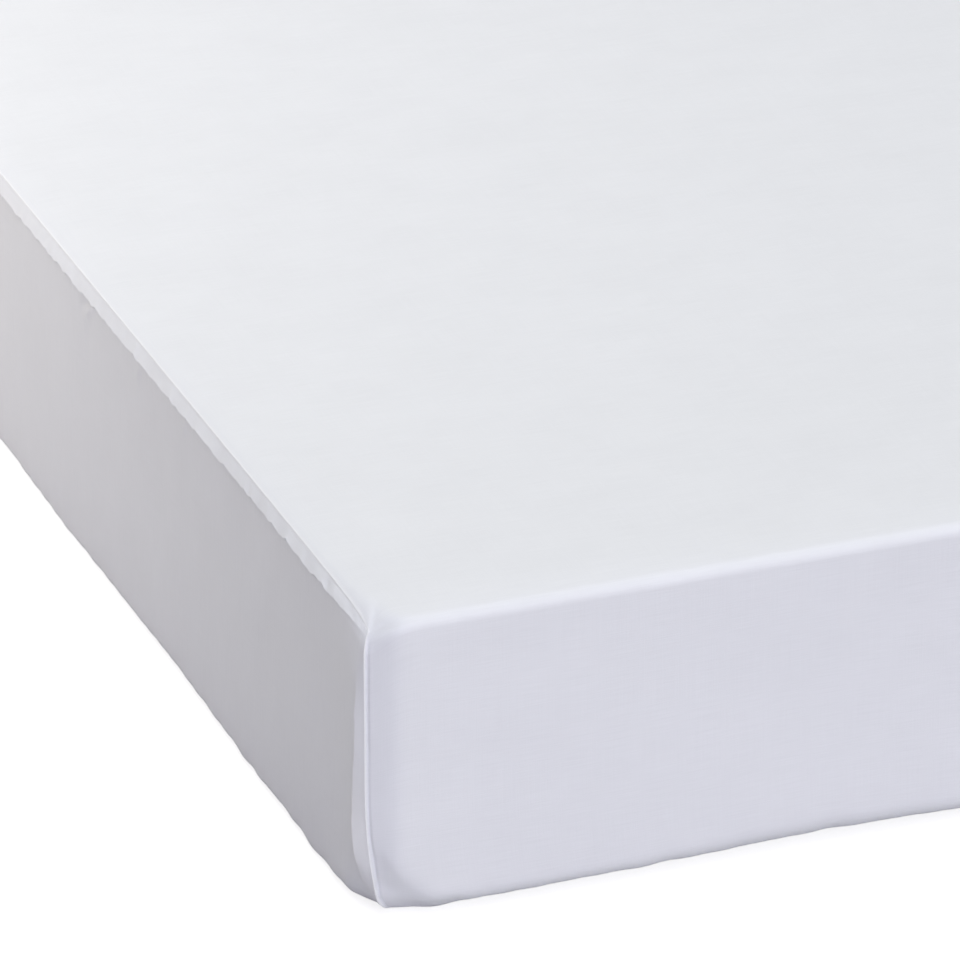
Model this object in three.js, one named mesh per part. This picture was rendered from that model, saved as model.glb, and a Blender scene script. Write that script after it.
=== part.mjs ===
// A waterproof mattress protector on the mattress that it fits.
//
// The protector is a fitted cloth cover: one long main panel runs over the sleeping surface and
// down both ends, and two side panels are sewn to it along the long top edges and down the four
// corners. Every panel turns under the mattress as a flat hem.
//
// Units are millimetres. X runs along the foot edge, Y along the length and Z up. The origin lies
// on the floor under the middle of the mattress.

import * as THREE from "three";

const { clamp, degToRad, lerp, smoothstep } = THREE.MathUtils;

// The mattress at its trade size.
const MATTRESS_WIDTH = 900;
const MATTRESS_LENGTH = 2000;
const MATTRESS_HEIGHT = 250;

// The cloth and how it lies round the mattress.
const CLOTH = 1.5;
const TOUCH_GAP = 0.3;
const SEAM_GAP = 0.5;
const EDGE_CLEARANCE = 2;
const SEAM_TRIM = SEAM_GAP / 2;
const HEM_DEPTH = 80;

// The outer form of the cover.
const HALF_WIDTH = MATTRESS_WIDTH / 2 + EDGE_CLEARANCE + CLOTH;
const HALF_LENGTH = MATTRESS_LENGTH / 2 + EDGE_CLEARANCE + CLOTH;
const COVER_HEIGHT = MATTRESS_HEIGHT + 2 * (CLOTH + TOUCH_GAP);

// The upright corner seams. Each stands in the side's plane and a little in from the end's, so that
// the end's cloth makes most of the corner's turn. From the seam each panel runs nearly flat to its
// bend, measured from the next wall's plane, and turns there into its own wall, the more softly the
// larger the blend. All of these hold down the wall and change towards the foot: each has its value
// on the wall, at the floor and at the hem's inner edge, and "height" is where the change starts.
const SEAM_ASIDE = { wall: 0, floor: 14, hem: 21, height: 110 };
const SEAM_INWARD = { wall: 13, floor: 17, hem: 52, height: 110 };
const END_BEND = { wall: 21.5, floor: 88, hem: 100, height: 57 };
const END_BLEND = { wall: 2.5, floor: 12.5, hem: 24, height: 57 };
const SIDE_BEND = { wall: 25.5, floor: 65, hem: 90, height: 110 };
const SIDE_BLEND = { wall: 2, floor: 9, hem: 18, height: 110 };

// The radius of the top edges, how deep and how high the elliptic roll of the foot edges is, and
// how far over the top edge the long seam's level lies. These change along a run, from the corner
// seam to the rest of the run.
const TOP_RADIUS = {
  end: { corner: 29, rest: 9, reach: 17, power: 2 },
  side: { corner: 29, rest: 9, reach: 38, power: 1 },
};
const FOOT_DEPTH = {
  end: { corner: 16, rest: 36, reach: 60, power: 2 },
  side: { corner: 16, rest: 12, reach: 51, power: 2 },
};
const FOOT_RISE = {
  end: { corner: 22, rest: 20, reach: 60, power: 2 },
  side: { corner: 22, rest: 12, reach: 51, power: 2 },
};
const SEAM_ANGLE = {
  end: { corner: degToRad(54.5), rest: degToRad(33), reach: 17, power: 2 },
  side: { corner: degToRad(54.5), rest: degToRad(33), reach: 60, power: 1 },
};

// The sleeping surface's roundings blend where they meet near a corner, over at most CORNER_BLEND
// and hardly at all at the seams. How far in a point lies there is found by repeating
// INSET_ROUNDS times.
const CORNER_BLEND = 8;
const LEAST_BLEND = 0.01;
const INSET_ROUNDS = 24;

// The step that the slopes of a surface are measured over.
const SLOPE_STEP = 0.01;

// The turned seam allowance stands proud under the side panel, beside its seams. Its edges lie
// this share of the way up the wall and this far from the corner seam.
const ALLOWANCE_RISE = 0.9;
const ALLOWANCE_EASE = 0.35;
const ALLOWANCE_SHARE = 0.975;
const ALLOWANCE_REACH = 9;

// The mattress's edges are this much rounder than the cover's.
const MATTRESS_EDGE_EXTRA = 2;

// The levels of the section, as shares of the way up each stretch, from the hem's inner edge up.
const STRETCHES = {
  hem: [0],
  foot: [0, 0.25, 0.5, 0.75],
  wall: [0, 0.06, 0.14, 0.3, 0.55, 0.8, 0.96, ALLOWANCE_SHARE, 1],
  top: [0.35, 0.7, 1],
};

// Where half of each run is divided, as distances along the cloth from its corner seam.
const END_DISTANCES = [0, 10, 17, 20.5, 24, 32, 55, 80, 110, 200, 330, HALF_WIDTH];
const SIDE_DISTANCES = [
  0, 5, ALLOWANCE_REACH, 13, 22, 36, 52, 75, 115, 150, 255, 450, 600, 730, 870, HALF_LENGTH,
];

// Soft unevenness of the walls, as shallow swells and hollows. "at" is a share of the half length,
// "level" a share of the height, "spread" and "rise" are millimetres. They die out within
// SWELL_FADE of a corner seam.
const SWELL_FADE = 60;
const WALL_SWELLS = {
  end: [
    { at: -0.72, level: 0.45, spread: 120, rise: 0.8 },
    { at: -0.2, level: 0.7, spread: 150, rise: -0.7 },
    { at: 0.35, level: 0.4, spread: 140, rise: 0.7 },
    { at: 0.8, level: 0.55, spread: 110, rise: -0.6 },
  ],
  side: [
    { at: -0.86, level: 0.5, spread: 110, rise: -0.8 },
    { at: -0.62, level: 0.45, spread: 170, rise: 1.0 },
    { at: -0.25, level: 0.6, spread: 200, rise: -0.8 },
    { at: 0.15, level: 0.4, spread: 220, rise: 0.9 },
    { at: 0.55, level: 0.6, spread: 180, rise: -0.8 },
    { at: 0.85, level: 0.5, spread: 130, rise: 0.8 },
  ],
};

// Stretches of the foot edges that are rounder, or sharper where "extra" is negative. "at" is a
// share of the half length, "spread" and "extra" are millimetres. They fade out towards a corner
// seam between the two distances of EDGE_FADE.
const EDGE_FADE = { none: 20, full: 70 };
const FOOT_SWELLS = {
  end: [
    { at: -0.2, spread: 110, extra: 6.5 },
    { at: 0.55, spread: 90, extra: -4 },
  ],
  side: [
    { at: -0.75, spread: 90, extra: 3 },
    { at: -0.4, spread: 120, extra: -3 },
    { at: 0.275, spread: 75, extra: -4 },
    { at: 0.55, spread: 85, extra: 3 },
    { at: 0.745, spread: 35, extra: -2.5 },
    { at: 0.885, spread: 22, extra: -4 },
  ],
};

// The two kinds of run round the cover.
const RUNS = {
  end: {
    halfAlong: HALF_WIDTH,
    halfOut: HALF_LENGTH,
    seamAlong: SEAM_ASIDE,
    seamIn: SEAM_INWARD,
    bend: END_BEND,
    blend: END_BLEND,
    topRadius: TOP_RADIUS.end,
    footDepth: FOOT_DEPTH.end,
    footRise: FOOT_RISE.end,
    seamAngle: SEAM_ANGLE.end,
    swells: WALL_SWELLS.end,
    footSwells: FOOT_SWELLS.end,
    stations: runStations(END_DISTANCES),
  },
  side: {
    halfAlong: HALF_LENGTH,
    halfOut: HALF_WIDTH,
    seamAlong: SEAM_INWARD,
    seamIn: SEAM_ASIDE,
    bend: SIDE_BEND,
    blend: SIDE_BLEND,
    topRadius: TOP_RADIUS.side,
    footDepth: FOOT_DEPTH.side,
    footRise: FOOT_RISE.side,
    seamAngle: SEAM_ANGLE.side,
    swells: WALL_SWELLS.side,
    footSwells: FOOT_SWELLS.side,
    stations: runStations(SIDE_DISTANCES),
  },
};

// Stations along a run, from one seam to the other. "end" is the half that each lies on.
function runStations(distances) {
  const left = distances.map((distance) => ({ end: -1, distance }));
  const right = distances.map((distance) => ({ end: 1, distance }));
  return [...left, ...right.toReversed().slice(1)];
}

// The levels of the cover's section.
function sectionLevels() {
  const levels = [];
  for (const [stretch, shares] of Object.entries(STRETCHES)) {
    for (const share of shares) levels.push({ stretch, share });
  }
  return levels;
}

// A size that changes towards the foot, at a level and height.
function tapered(size, level, height) {
  const lowness = clamp(1 - height / size.height, 0, 1);
  const above = lerp(size.wall, size.floor, lowness * lowness);
  return level.stretch === "hem" ? lerp(size.hem, above, level.share) : above;
}

// A size that changes along a run, at a distance from the corner seam.
function faded(size, distance) {
  return lerp(size.rest, size.corner, Math.exp(-((distance / size.reach) ** size.power)));
}

// 0 far below zero, the value itself far above it, and a smooth bend between.
function softRamp(value) {
  return Math.log1p(Math.exp(value));
}

// How far the wall swells out of its plane.
function wallSwell(run, along, height, distance) {
  let rise = 0;
  for (const swell of run.swells) {
    const away = (along - swell.at * run.halfAlong) / swell.spread;
    const above = (height - swell.level * COVER_HEIGHT) / swell.spread;
    rise += swell.rise * Math.exp(-(away * away + above * above));
  }
  const edgeFade = Math.sin(Math.PI * clamp(height / COVER_HEIGHT, 0, 1));
  return rise * edgeFade * smoothstep(distance, 0, SWELL_FADE);
}

// How deep and how high the roll of the foot edge is at a station.
function footRoll(run, station, form) {
  const { end, distance } = station;
  const along = end * (run.halfAlong - distance);
  let extra = 0;
  for (const swell of run.footSwells) {
    extra += swell.extra * Math.exp(-(((along - swell.at * run.halfAlong) / swell.spread) ** 2));
  }
  extra = form.extra + extra * smoothstep(distance, EDGE_FADE.none, EDGE_FADE.full);
  return { depth: faded(run.footDepth, distance) + extra, rise: faded(run.footRise, distance) + extra };
}

// How far in from the wall's plane and how high a level lies at a station. A form is the cover's
// outside, or the mattress.
function sectionAt(run, station, level, form) {
  const top = faded(run.topRadius, station.distance) + form.extra;
  const foot = footRoll(run, station, form);
  if (level.stretch === "hem") {
    return { inset: foot.depth + (1 - level.share) * HEM_DEPTH, height: form.bottom };
  }
  if (level.stretch === "foot") {
    const lean = (1 - level.share) * (Math.PI / 2);
    return {
      inset: foot.depth * (1 - Math.cos(lean)),
      height: form.bottom + foot.rise * (1 - Math.sin(lean)),
    };
  }
  if (level.stretch === "wall") {
    return { inset: 0, height: lerp(form.bottom + foot.rise, form.top - top, level.share) };
  }
  const seamAngle = form.seamed ? faded(run.seamAngle, station.distance) + form.seamTrim / top : 0;
  const lean = lerp(Math.PI / 2, seamAngle, level.share);
  return { inset: top * (1 - Math.sin(lean)), height: form.top - top * (1 - Math.cos(lean)) };
}

// A point of a form on the run that faces -Y.
function placeOnRun(run, station, level, form) {
  const { end, distance } = station;
  const { inset, height } = sectionAt(run, station, level, form);
  const cornerInset = sectionAt(run, { end, distance: 0 }, level, form).inset;
  const aside = tapered(run.seamAlong, level, height);
  const blend = tapered(run.blend, level, height);
  const bend = (tapered(run.bend, level, height) - aside) / blend;
  const whole = run.halfAlong - form.inset - cornerInset - aside;
  const fromSeam = (whole * distance) / run.halfAlong;
  const cut = (tapered(run.seamIn, level, height) * softRamp(bend - fromSeam / blend)) / softRamp(bend);
  const x = end * (whole - fromSeam);
  const swell = level.stretch === "wall" ? wallSwell(run, x, height, distance) : 0;
  return new THREE.Vector3(x, form.inset + inset + cut - swell - run.halfOut, height);
}

// The way a form faces at a point of a run, from its slopes along the run and up the section.
function facingOnRun(run, station, level, form) {
  const { end, distance } = station;
  const { stretch, share } = level;
  const at = (along, up) =>
    placeOnRun(run, { end, distance: distance + along }, { stretch, share: share + up }, form);
  const along = at(SLOPE_STEP, 0).sub(at(-SLOPE_STEP, 0)).multiplyScalar(-end);
  const up = at(0, SLOPE_STEP).sub(at(0, -SLOPE_STEP));
  return along.cross(up).normalize();
}

// The way the fold at a corner seam faces, between the ways that the end's and the side's cloth
// face there. It is longer than 1, so that both keep their thickness.
function seamFacing(run, station, level, form) {
  const onEnd = facingOnRun(RUNS.end, { end: 1, distance: 0 }, level, form);
  const onSide = quarterTurned(facingOnRun(RUNS.side, { end: -1, distance: 0 }, level, form));
  const middle = onEnd.clone().add(onSide).normalize();
  middle.divideScalar(middle.dot(onEnd));
  const sideways = run === RUNS.end ? middle.x : -middle.y;
  const outward = run === RUNS.end ? middle.y : -middle.x;
  return new THREE.Vector3(station.end * sideways, outward, middle.z);
}

// A point of a form on the run that faces -Y, with the direction that its surface faces. The run
// ends "trim" short of both seams.
function pointOnRun(run, station, level, form, trim) {
  const short = { end: station.end, distance: Math.max(station.distance, trim) };
  const facing = station.distance === 0 ? seamFacing : facingOnRun;
  return {
    place: placeOnRun(run, short, level, form),
    facing: facing(run, short, level, form),
  };
}

// A point of the cloth: on its outside, or one thickness further in.
function clothPoint(point, outside, rise = 0) {
  return point.place.clone().addScaledVector(point.facing, outside ? rise : -CLOTH);
}

// A flat panel of cloth, cut to a grid and bent into place. "place" gives each grid point.
function bentPanel(columns, rows, place) {
  const panel = new THREE.BoxGeometry(columns, rows, 1, columns, rows, 1);
  const position = panel.getAttribute("position");
  for (let index = 0; index < position.count; index += 1) {
    const column = Math.round(position.getX(index) + columns / 2);
    const row = Math.round(position.getY(index) + rows / 2);
    const point = place(column, row, position.getZ(index) > 0);
    position.setXYZ(index, point.x, point.y, point.z);
  }
  panel.computeVertexNormals();
  return panel;
}

// The outside of the main panel and of the side panels, each short of the long seam by half the gap.
const COVER = { top: COVER_HEIGHT, bottom: 0, inset: 0, extra: 0, seamed: true };
const MAIN_FORM = { ...COVER, seamTrim: -SEAM_TRIM };
const SIDE_FORM = { ...COVER, seamTrim: SEAM_TRIM };
const LEVELS = sectionLevels();
const SEAM_LEVEL = LEVELS[LEVELS.length - 1];

// The share of its whole length that each point of a line has reached.
function lengthShares(points) {
  const reached = [0];
  for (let index = 1; index < points.length; index += 1) {
    reached.push(reached[index - 1] + points[index].distanceTo(points[index - 1]));
  }
  return reached.map((length) => length / reached[reached.length - 1]);
}

// A point turned half round the Z axis.
function halfTurned(point) {
  return new THREE.Vector3(-point.x, -point.y, point.z);
}

// How far in from the outline a point lies, where the outline follows the end's cloth round the
// corner: the level curve of the end's wall that passes through the point.
function insetFromEnd(fromSidePlane, fromEndPlane) {
  const bend = END_BEND.wall / END_BLEND.wall;
  const whole = softRamp(bend - SEAM_ASIDE.wall / END_BLEND.wall);
  let inset = Math.min(fromSidePlane, fromEndPlane);
  for (let round = 0; round < INSET_ROUNDS; round += 1) {
    const cut = softRamp(bend - (fromSidePlane - inset) / END_BLEND.wall) / whole;
    inset = Math.max(fromEndPlane - SEAM_INWARD.wall * Math.min(cut, 1), 0);
  }
  return inset;
}

// The height of the sleeping surface, flat but for the last of its rounded edges. "fromEdge" is
// how far in from the seam's lines the point lies.
function surfaceHeight(point, fromEdge) {
  const fromSidePlane = HALF_WIDTH - Math.abs(point.x);
  const fromEndPlane = HALF_LENGTH - Math.abs(point.y);
  const tip = TOP_RADIUS.side.corner * (1 - Math.sin(SEAM_ANGLE.side.corner));
  const alongSide = Math.max(fromEndPlane - SEAM_INWARD.wall - tip, 0);
  const alongEnd = Math.max(fromSidePlane - SEAM_ASIDE.wall - tip, 0);
  const inset = insetFromEnd(fromSidePlane, fromEndPlane);
  const nearSide = fromSidePlane < inset;
  const radius = nearSide ? faded(TOP_RADIUS.side, alongSide) : faded(TOP_RADIUS.end, alongEnd);
  const blend = clamp(fromEdge / 2, LEAST_BLEND, CORNER_BLEND);
  const apart = Math.abs(fromSidePlane - inset) / blend;
  const nearest = Math.min(fromSidePlane, inset) - blend * softRamp(-apart);
  const sine = clamp(1 - nearest / radius, 0, 1);
  return COVER_HEIGHT - radius * (1 - Math.sqrt(1 - sine * sine));
}

// The sleeping surface is a patch that fills the four lines at the seams' level: across both ends
// and along both sides.
function sleepingSurface() {
  const across = RUNS.end.stations.map((station) =>
    pointOnRun(RUNS.end, station, SEAM_LEVEL, MAIN_FORM, SEAM_TRIM));
  const foot = across.map((point) => point.place);
  const head = foot.map((_, index) => halfTurned(foot[foot.length - 1 - index]));
  const rightSide = RUNS.side.stations.map((station) => {
    const point = pointOnRun(RUNS.side, station, SEAM_LEVEL, MAIN_FORM, 0);
    return { place: quarterTurned(point.place), facing: quarterTurned(point.facing) };
  });
  const right = rightSide.map((point) => point.place.clone());
  const left = right.map((_, index) => halfTurned(right[right.length - 1 - index]));
  const lastRow = right.length - 1;
  const lastColumn = foot.length - 1;
  right[0].copy(foot[lastColumn]);
  right[lastRow].copy(head[lastColumn]);
  left[0].copy(foot[0]);
  left[lastRow].copy(head[0]);
  const acrossShares = lengthShares(foot);
  const alongShares = lengthShares(right);

  return (column, row, outside) => {
    const u = acrossShares[column];
    const v = alongShares[row];
    const point = new THREE.Vector3();
    point.addScaledVector(foot[column], 1 - v);
    point.addScaledVector(head[column], v);
    point.addScaledVector(left[row], 1 - u);
    point.addScaledVector(right[row], u);
    point.addScaledVector(foot[0], -(1 - u) * (1 - v));
    point.addScaledVector(foot[lastColumn], -u * (1 - v));
    point.addScaledVector(head[0], -(1 - u) * v);
    point.addScaledVector(head[lastColumn], -u * v);
    const onFoot = row === 0;
    const onHead = row === lastRow;
    const onLeft = column === 0;
    const onRight = column === lastColumn;
    let facing = new THREE.Vector3(0, 0, 1);
    if (onFoot) facing = across[column].facing;
    else if (onHead) facing = halfTurned(across[lastColumn - column].facing);
    else if (onRight) facing = rightSide[row].facing;
    else if (onLeft) facing = halfTurned(rightSide[lastRow - row].facing);
    else {
      const fromSide = Math.abs(foot[0].x) - Math.abs(point.x);
      const fromEnd = Math.abs(foot[column].y) - Math.abs(point.y);
      point.setZ(surfaceHeight(point, Math.min(fromSide, fromEnd)));
    }
    return clothPoint({ place: point, facing }, outside);
  };
}

// A point turned a quarter round the Z axis, from the foot end to the right side.
function quarterTurned(point) {
  return new THREE.Vector3(-point.y, point.x, point.z);
}

// The main panel: up the foot end, over the sleeping surface and down the head end.
function mainPanel() {
  const { stations } = RUNS.end;
  const columns = stations.length - 1;
  const surface = sleepingSurface();
  const wallRows = LEVELS.length - 1;
  const surfaceRows = RUNS.side.stations.length - 1;
  const rows = wallRows + surfaceRows + wallRows;
  const wallPoint = (column, row, outside) =>
    clothPoint(pointOnRun(RUNS.end, stations[column], LEVELS[row], MAIN_FORM, SEAM_TRIM), outside);
  return bentPanel(columns, rows, (column, row, outside) => {
    if (row < wallRows) return wallPoint(column, row, outside);
    if (row > wallRows + surfaceRows) {
      return halfTurned(wallPoint(columns - column, rows - row, outside));
    }
    return surface(column, row - wallRows, outside);
  });
}

// The right side panel, from the hem up to the long seam.
function sidePanel() {
  const { stations } = RUNS.side;
  const columns = stations.length - 1;
  const rows = LEVELS.length - 1;
  return bentPanel(columns, rows, (column, row, outside) => {
    const point = pointOnRun(RUNS.side, stations[column], LEVELS[row], SIDE_FORM, SEAM_TRIM);
    return quarterTurned(clothPoint(point, outside, allowanceRise(column, columns, row)));
  });
}

// How far the turned allowance lifts the outside of a side panel at a grid point.
function allowanceRise(column, columns, row) {
  const level = LEVELS[row];
  if (level.stretch === "hem" || level.stretch === "foot") return 0;
  if (row === LEVELS.length - 1 || column === 0 || column === columns) return ALLOWANCE_EASE;
  const besideCorner = RUNS.side.stations[column].distance <= ALLOWANCE_REACH;
  const besideTop = level.stretch === "top" || level.share >= ALLOWANCE_SHARE;
  return besideCorner || besideTop ? ALLOWANCE_RISE : 0;
}

// The mattress: rings of points round the same form, a clearance inside the cloth, closed at the
// middle of its top and of its underside.
function mattress() {
  const form = {
    top: COVER_HEIGHT - CLOTH - TOUCH_GAP,
    bottom: CLOTH + TOUCH_GAP,
    inset: CLOTH + EDGE_CLEARANCE,
    extra: MATTRESS_EDGE_EXTRA,
    seamed: false,
  };
  const around = [];
  for (const [run, turn] of [[RUNS.end, 0], [RUNS.side, 1], [RUNS.end, 2], [RUNS.side, 3]]) {
    for (const station of run.stations.slice(0, -1)) around.push({ run, station, turn });
  }
  const levels = LEVELS.filter((level) => level.stretch !== "hem");
  const profile = [new THREE.Vector2(0, 0)];
  for (const level of levels) profile.push(new THREE.Vector2(1, profile.length + level.share));
  profile.push(new THREE.Vector2(0, profile.length));
  const body = new THREE.LatheGeometry(profile, around.length);
  const position = body.getAttribute("position");
  for (let index = 0; index < position.count; index += 1) {
    const ring = (index % profile.length) - 1;
    const { run, station, turn } = around[Math.floor(index / profile.length) % around.length];
    let point = new THREE.Vector3(0, 0, ring < 0 ? form.bottom : form.top);
    if (levels[ring]) {
      const level = levels[ring];
      point = placeOnRun(run, station, level, form);
      if (ring === levels.length - 1) point.z = form.top;
      for (let count = 0; count < turn; count += 1) point = quarterTurned(point);
    }
    position.setXYZ(index, point.x, point.y, point.z);
  }
  body.computeVertexNormals();
  return body;
}

const CLOTH_WHITE = { color: 0xe7e8ec, roughness: 0.85, metalness: 0, side: THREE.DoubleSide };

function piece(name, geometry, finish, turn = 0) {
  const mesh = new THREE.Mesh(geometry, new THREE.MeshStandardMaterial(finish));
  mesh.name = name;
  mesh.rotation.z = turn;
  return mesh;
}

const protector = new THREE.Group();
protector.add(piece("main_panel", mainPanel(), CLOTH_WHITE));
protector.add(piece("right_side_panel", sidePanel(), CLOTH_WHITE));
protector.add(piece("left_side_panel", sidePanel(), CLOTH_WHITE, Math.PI));

const model = new THREE.Group();
model.add(protector);
model.add(piece("mattress", mattress(), { color: 0xd9d6cf, roughness: 0.9, metalness: 0 }));

export default model;
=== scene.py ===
"""A waterproof mattress protector on its mattress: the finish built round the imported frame.

The protector is a fitted cloth cover. One long main panel runs over the sleeping surface and down
both ends. Two side panels are sewn to it along the long top edges and down the four corners, and
every panel turns under the mattress as a flat hem. Each panel is a sheet, laid on the cover's form
and given the soft swells, creases and puckers that the cloth has there.

Units are metres, in the frame's own axes: X runs along the foot edge, Y along the length and Z up.
The tables of swells and creases are in millimetres and say so.
"""

import logging
import math
from collections.abc import Iterable
from dataclasses import dataclass, field, replace
from enum import Enum

import bmesh
import bpy
import numpy as np
from mathutils import Matrix, Vector, noise


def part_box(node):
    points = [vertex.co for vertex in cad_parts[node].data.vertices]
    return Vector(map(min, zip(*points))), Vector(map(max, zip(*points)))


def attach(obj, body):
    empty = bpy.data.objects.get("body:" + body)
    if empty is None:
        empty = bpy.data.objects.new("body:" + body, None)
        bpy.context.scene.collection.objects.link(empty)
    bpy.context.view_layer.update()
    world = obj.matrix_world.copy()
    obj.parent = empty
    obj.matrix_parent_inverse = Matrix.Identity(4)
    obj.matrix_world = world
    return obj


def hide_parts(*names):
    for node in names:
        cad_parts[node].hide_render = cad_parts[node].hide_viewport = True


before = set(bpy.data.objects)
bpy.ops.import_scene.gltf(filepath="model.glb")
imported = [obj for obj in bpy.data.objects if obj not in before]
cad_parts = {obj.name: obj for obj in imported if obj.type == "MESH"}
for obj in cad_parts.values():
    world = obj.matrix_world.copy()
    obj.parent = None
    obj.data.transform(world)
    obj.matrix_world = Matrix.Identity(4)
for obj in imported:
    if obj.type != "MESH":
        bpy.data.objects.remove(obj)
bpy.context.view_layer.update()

LOG = logging.getLogger("protector")
Array = np.ndarray
Span = tuple[float, float]
Colour = tuple[float, float, float]
Stages = tuple[tuple[float, float, float], ...]

MM = 0.001
QUARTER = math.pi / 2
FLAT_MAP = "flat_cloth"
# How much each point of the cloth is whitened: the cloth layers at a seam plus a painted highlight
# along the seam lines and bands.
SEAM_LAYERS_AND_HIGHLIGHT = "seam"

# The cloth and how it lies round the mattress. Each panel ends SEAM_TRIM short of its seams.
CLOTH = 1.5 * MM
TOUCH_GAP = 0.3 * MM
EDGE_CLEARANCE = 2 * MM
SEAM_TRIM = 0.03 * MM


def mix(start: Array | float, end: Array | float, share: Array | float) -> Array | float:
    """The value a share of the way from start to end."""
    return start + (end - start) * share


def smooth(value: Array | float, low: float, high: float) -> Array | float:
    """0 up to low, 1 from high on, and an S-curve between."""
    share = np.clip((value - low) / (high - low), 0, 1)
    return share * share * (3 - 2 * share)


def bell(value: Array | float, width: Array | float) -> Array | float:
    """1 at 0, falling away on both sides as a bell of that width."""
    return np.exp(-((value / width) ** 2))


def quarter_turned(points: Array, quarters: int) -> Array:
    """Points or directions turned about the Z axis.

    Args:
        points: The points or directions.
        quarters: How many quarters they turn.

    Returns:
        The turned ones.
    """
    cosine, sine = ((1, 0), (0, 1), (-1, 0), (0, -1))[quarters % 4]
    x, y, z = points[..., 0], points[..., 1], points[..., 2]
    return np.stack([cosine * x - sine * y, sine * x + cosine * y, z], axis=-1)


def graded_steps(length: float, *stages: tuple[float, float, float]) -> Array:
    """Distances from 0 to length, in stages whose steps grow.

    Args:
        length: The last distance.
        stages: For each stage where it ends, how much each step grows on the last, and the
            largest step. The first step is half the first stage's largest.

    Returns:
        The distances.
    """
    reached, step = [0.0], stages[0][2] / 2
    for end, growth, largest in stages:
        while reached[-1] < min(end, length):
            reached.append(reached[-1] + step)
            step = min(step * growth, largest)
    return np.array(reached) * (length / reached[-1])


def surface_normals(place: Array) -> Array:
    """The unit normals of a grid of points."""
    up, across = np.gradient(place, axis=(0, 1))
    return unit(np.cross(across, up))


def distance_down(place: Array) -> Array:
    """How far a grid's points are from its last row, along their columns."""
    steps = np.linalg.norm(np.diff(place[::-1], axis=0), axis=-1)
    return np.concatenate([np.zeros_like(steps[:1]), np.cumsum(steps, axis=0)])[::-1]


def distance_along(points: Array) -> Array:
    """How far along a line its points lie."""
    steps = np.linalg.norm(np.diff(points, axis=0), axis=1)
    return np.concatenate([[0], np.cumsum(steps)])


def line_points(at: Array, reached: Array, values: Array) -> Array:
    """The values of a line, whose points lie at "reached", at other distances along it."""
    return np.stack([np.interp(at, reached, values[:, k]) for k in range(3)], axis=-1)


def unit(vectors: Array) -> Array:
    """Vectors scaled to a length of 1."""
    return vectors / np.linalg.norm(vectors, axis=-1, keepdims=True)


@dataclass(frozen=True)
class Lumps:
    """Smooth random lumps in the cloth, about half of "rise" up and down. "along" and "up" are how
    far apart they lie, and "seed" is added to the panel's own."""

    rise: float
    along: float
    up: float
    seed: float = 0.0

    def relief(self, along: Array, up: Array, seed: float) -> Array:
        """The lumps' rise over a surface.

        Args:
            along: Places along the surface.
            up: Places up the surface.
            seed: The panel's seed.

        Returns:
            The rise at each place.
        """
        along, up = np.broadcast_arrays(along / self.along, up / self.up)
        depth = seed + self.seed
        lumps = [noise.noise(Vector((a, b, depth))) for a, b in zip(along.flat, up.flat)]
        return self.rise * np.array(lumps).reshape(along.shape)


def lumpy(layers: Iterable[Lumps], along: Array, up: Array, seed: float) -> Array:
    """The rise of several layers of lumps together."""
    return sum(layer.relief(along, up, seed) for layer in layers)


@dataclass(frozen=True)
class Rib:
    """A rounded rib beside a seam, or with a negative height a furrow."""

    height: float
    place: float
    width: float

    def relief(self, distance: Array) -> Array:
        """The rise at a distance from the seam."""
        return self.height * bell(distance - self.place, self.width)


@dataclass(frozen=True)
class FootGather:
    """The small puckers of a foot edge, which elastic in the hem gathers, and its fullness beside
    a corner seam."""

    puckers: Lumps = Lumps(1.2 * MM, along=23 * MM, up=90 * MM, seed=30)
    pucker_onset: Span = (0, 20 * MM)
    fullness: Rib = Rib(3 * MM, place=38 * MM, width=22 * MM)
    floor_fade: Span = (0, 4 * MM)
    upper_fade: Span = (8 * MM, 38 * MM)

    def relief(self, along: Array, up: Array, from_seam: Array, seed: float) -> Array:
        """How far the cloth stands off.

        Args:
            along: Places along the wall.
            up: Their heights.
            from_seam: Their distances from the nearer corner seam.
            seed: The panel's seed.

        Returns:
            The rise at each place.
        """
        puckers = self.puckers.relief(along, up, seed) * smooth(from_seam, *self.pucker_onset)
        rise = puckers + self.fullness.relief(from_seam)
        return rise * smooth(up, *self.floor_fade) * (1 - smooth(up, *self.upper_fade))


class Face(Enum):
    """A wall of the cover. Its value is its quarter turns from the foot end."""

    FOOT = 0
    RIGHT = 1
    HEAD = 2
    LEFT = 3


class Stretch(Enum):
    """A stretch of the cover's section, from the hem's inner edge up to the long seam."""

    HEM = "hem"
    FOOT = "foot"
    WALL = "wall"
    TOP = "top"


@dataclass(frozen=True)
class Level:
    """A level of the section: a share of the way up one of its stretches."""

    stretch: Stretch
    share: float


def section_levels(hem: int, foot: int, wall: Iterable[float], top: int) -> list[Level]:
    """The levels of a panel's section.

    Args:
        hem: Steps across the hem.
        foot: Steps round the foot edge.
        wall: Shares of the wall, from 0 at its foot to 1.
        top: Steps up the rounded top edge.

    Returns:
        The levels, from the hem's inner edge up.
    """
    levels = [Level(Stretch.HEM, step / hem) for step in range(hem)]
    levels += [Level(Stretch.FOOT, step / foot) for step in range(foot)]
    levels += [Level(Stretch.WALL, float(share)) for share in wall]
    levels += [Level(Stretch.TOP, (step + 1) / top) for step in range(top)]
    return levels


@dataclass(frozen=True)
class Swell:
    """A shallow swell of a wall, or with a negative rise a hollow. "at" is a share of the wall's
    half length and "level" of its height; spread and rise are millimetres."""

    at: float
    level: float
    spread: float
    rise: float


@dataclass(frozen=True)
class EdgeSwell:
    """A stretch of a foot edge that is rounder, or with a negative extra sharper. "at" is a share
    of the wall's half length; spread and extra are millimetres."""

    at: float
    spread: float
    extra: float


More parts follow.
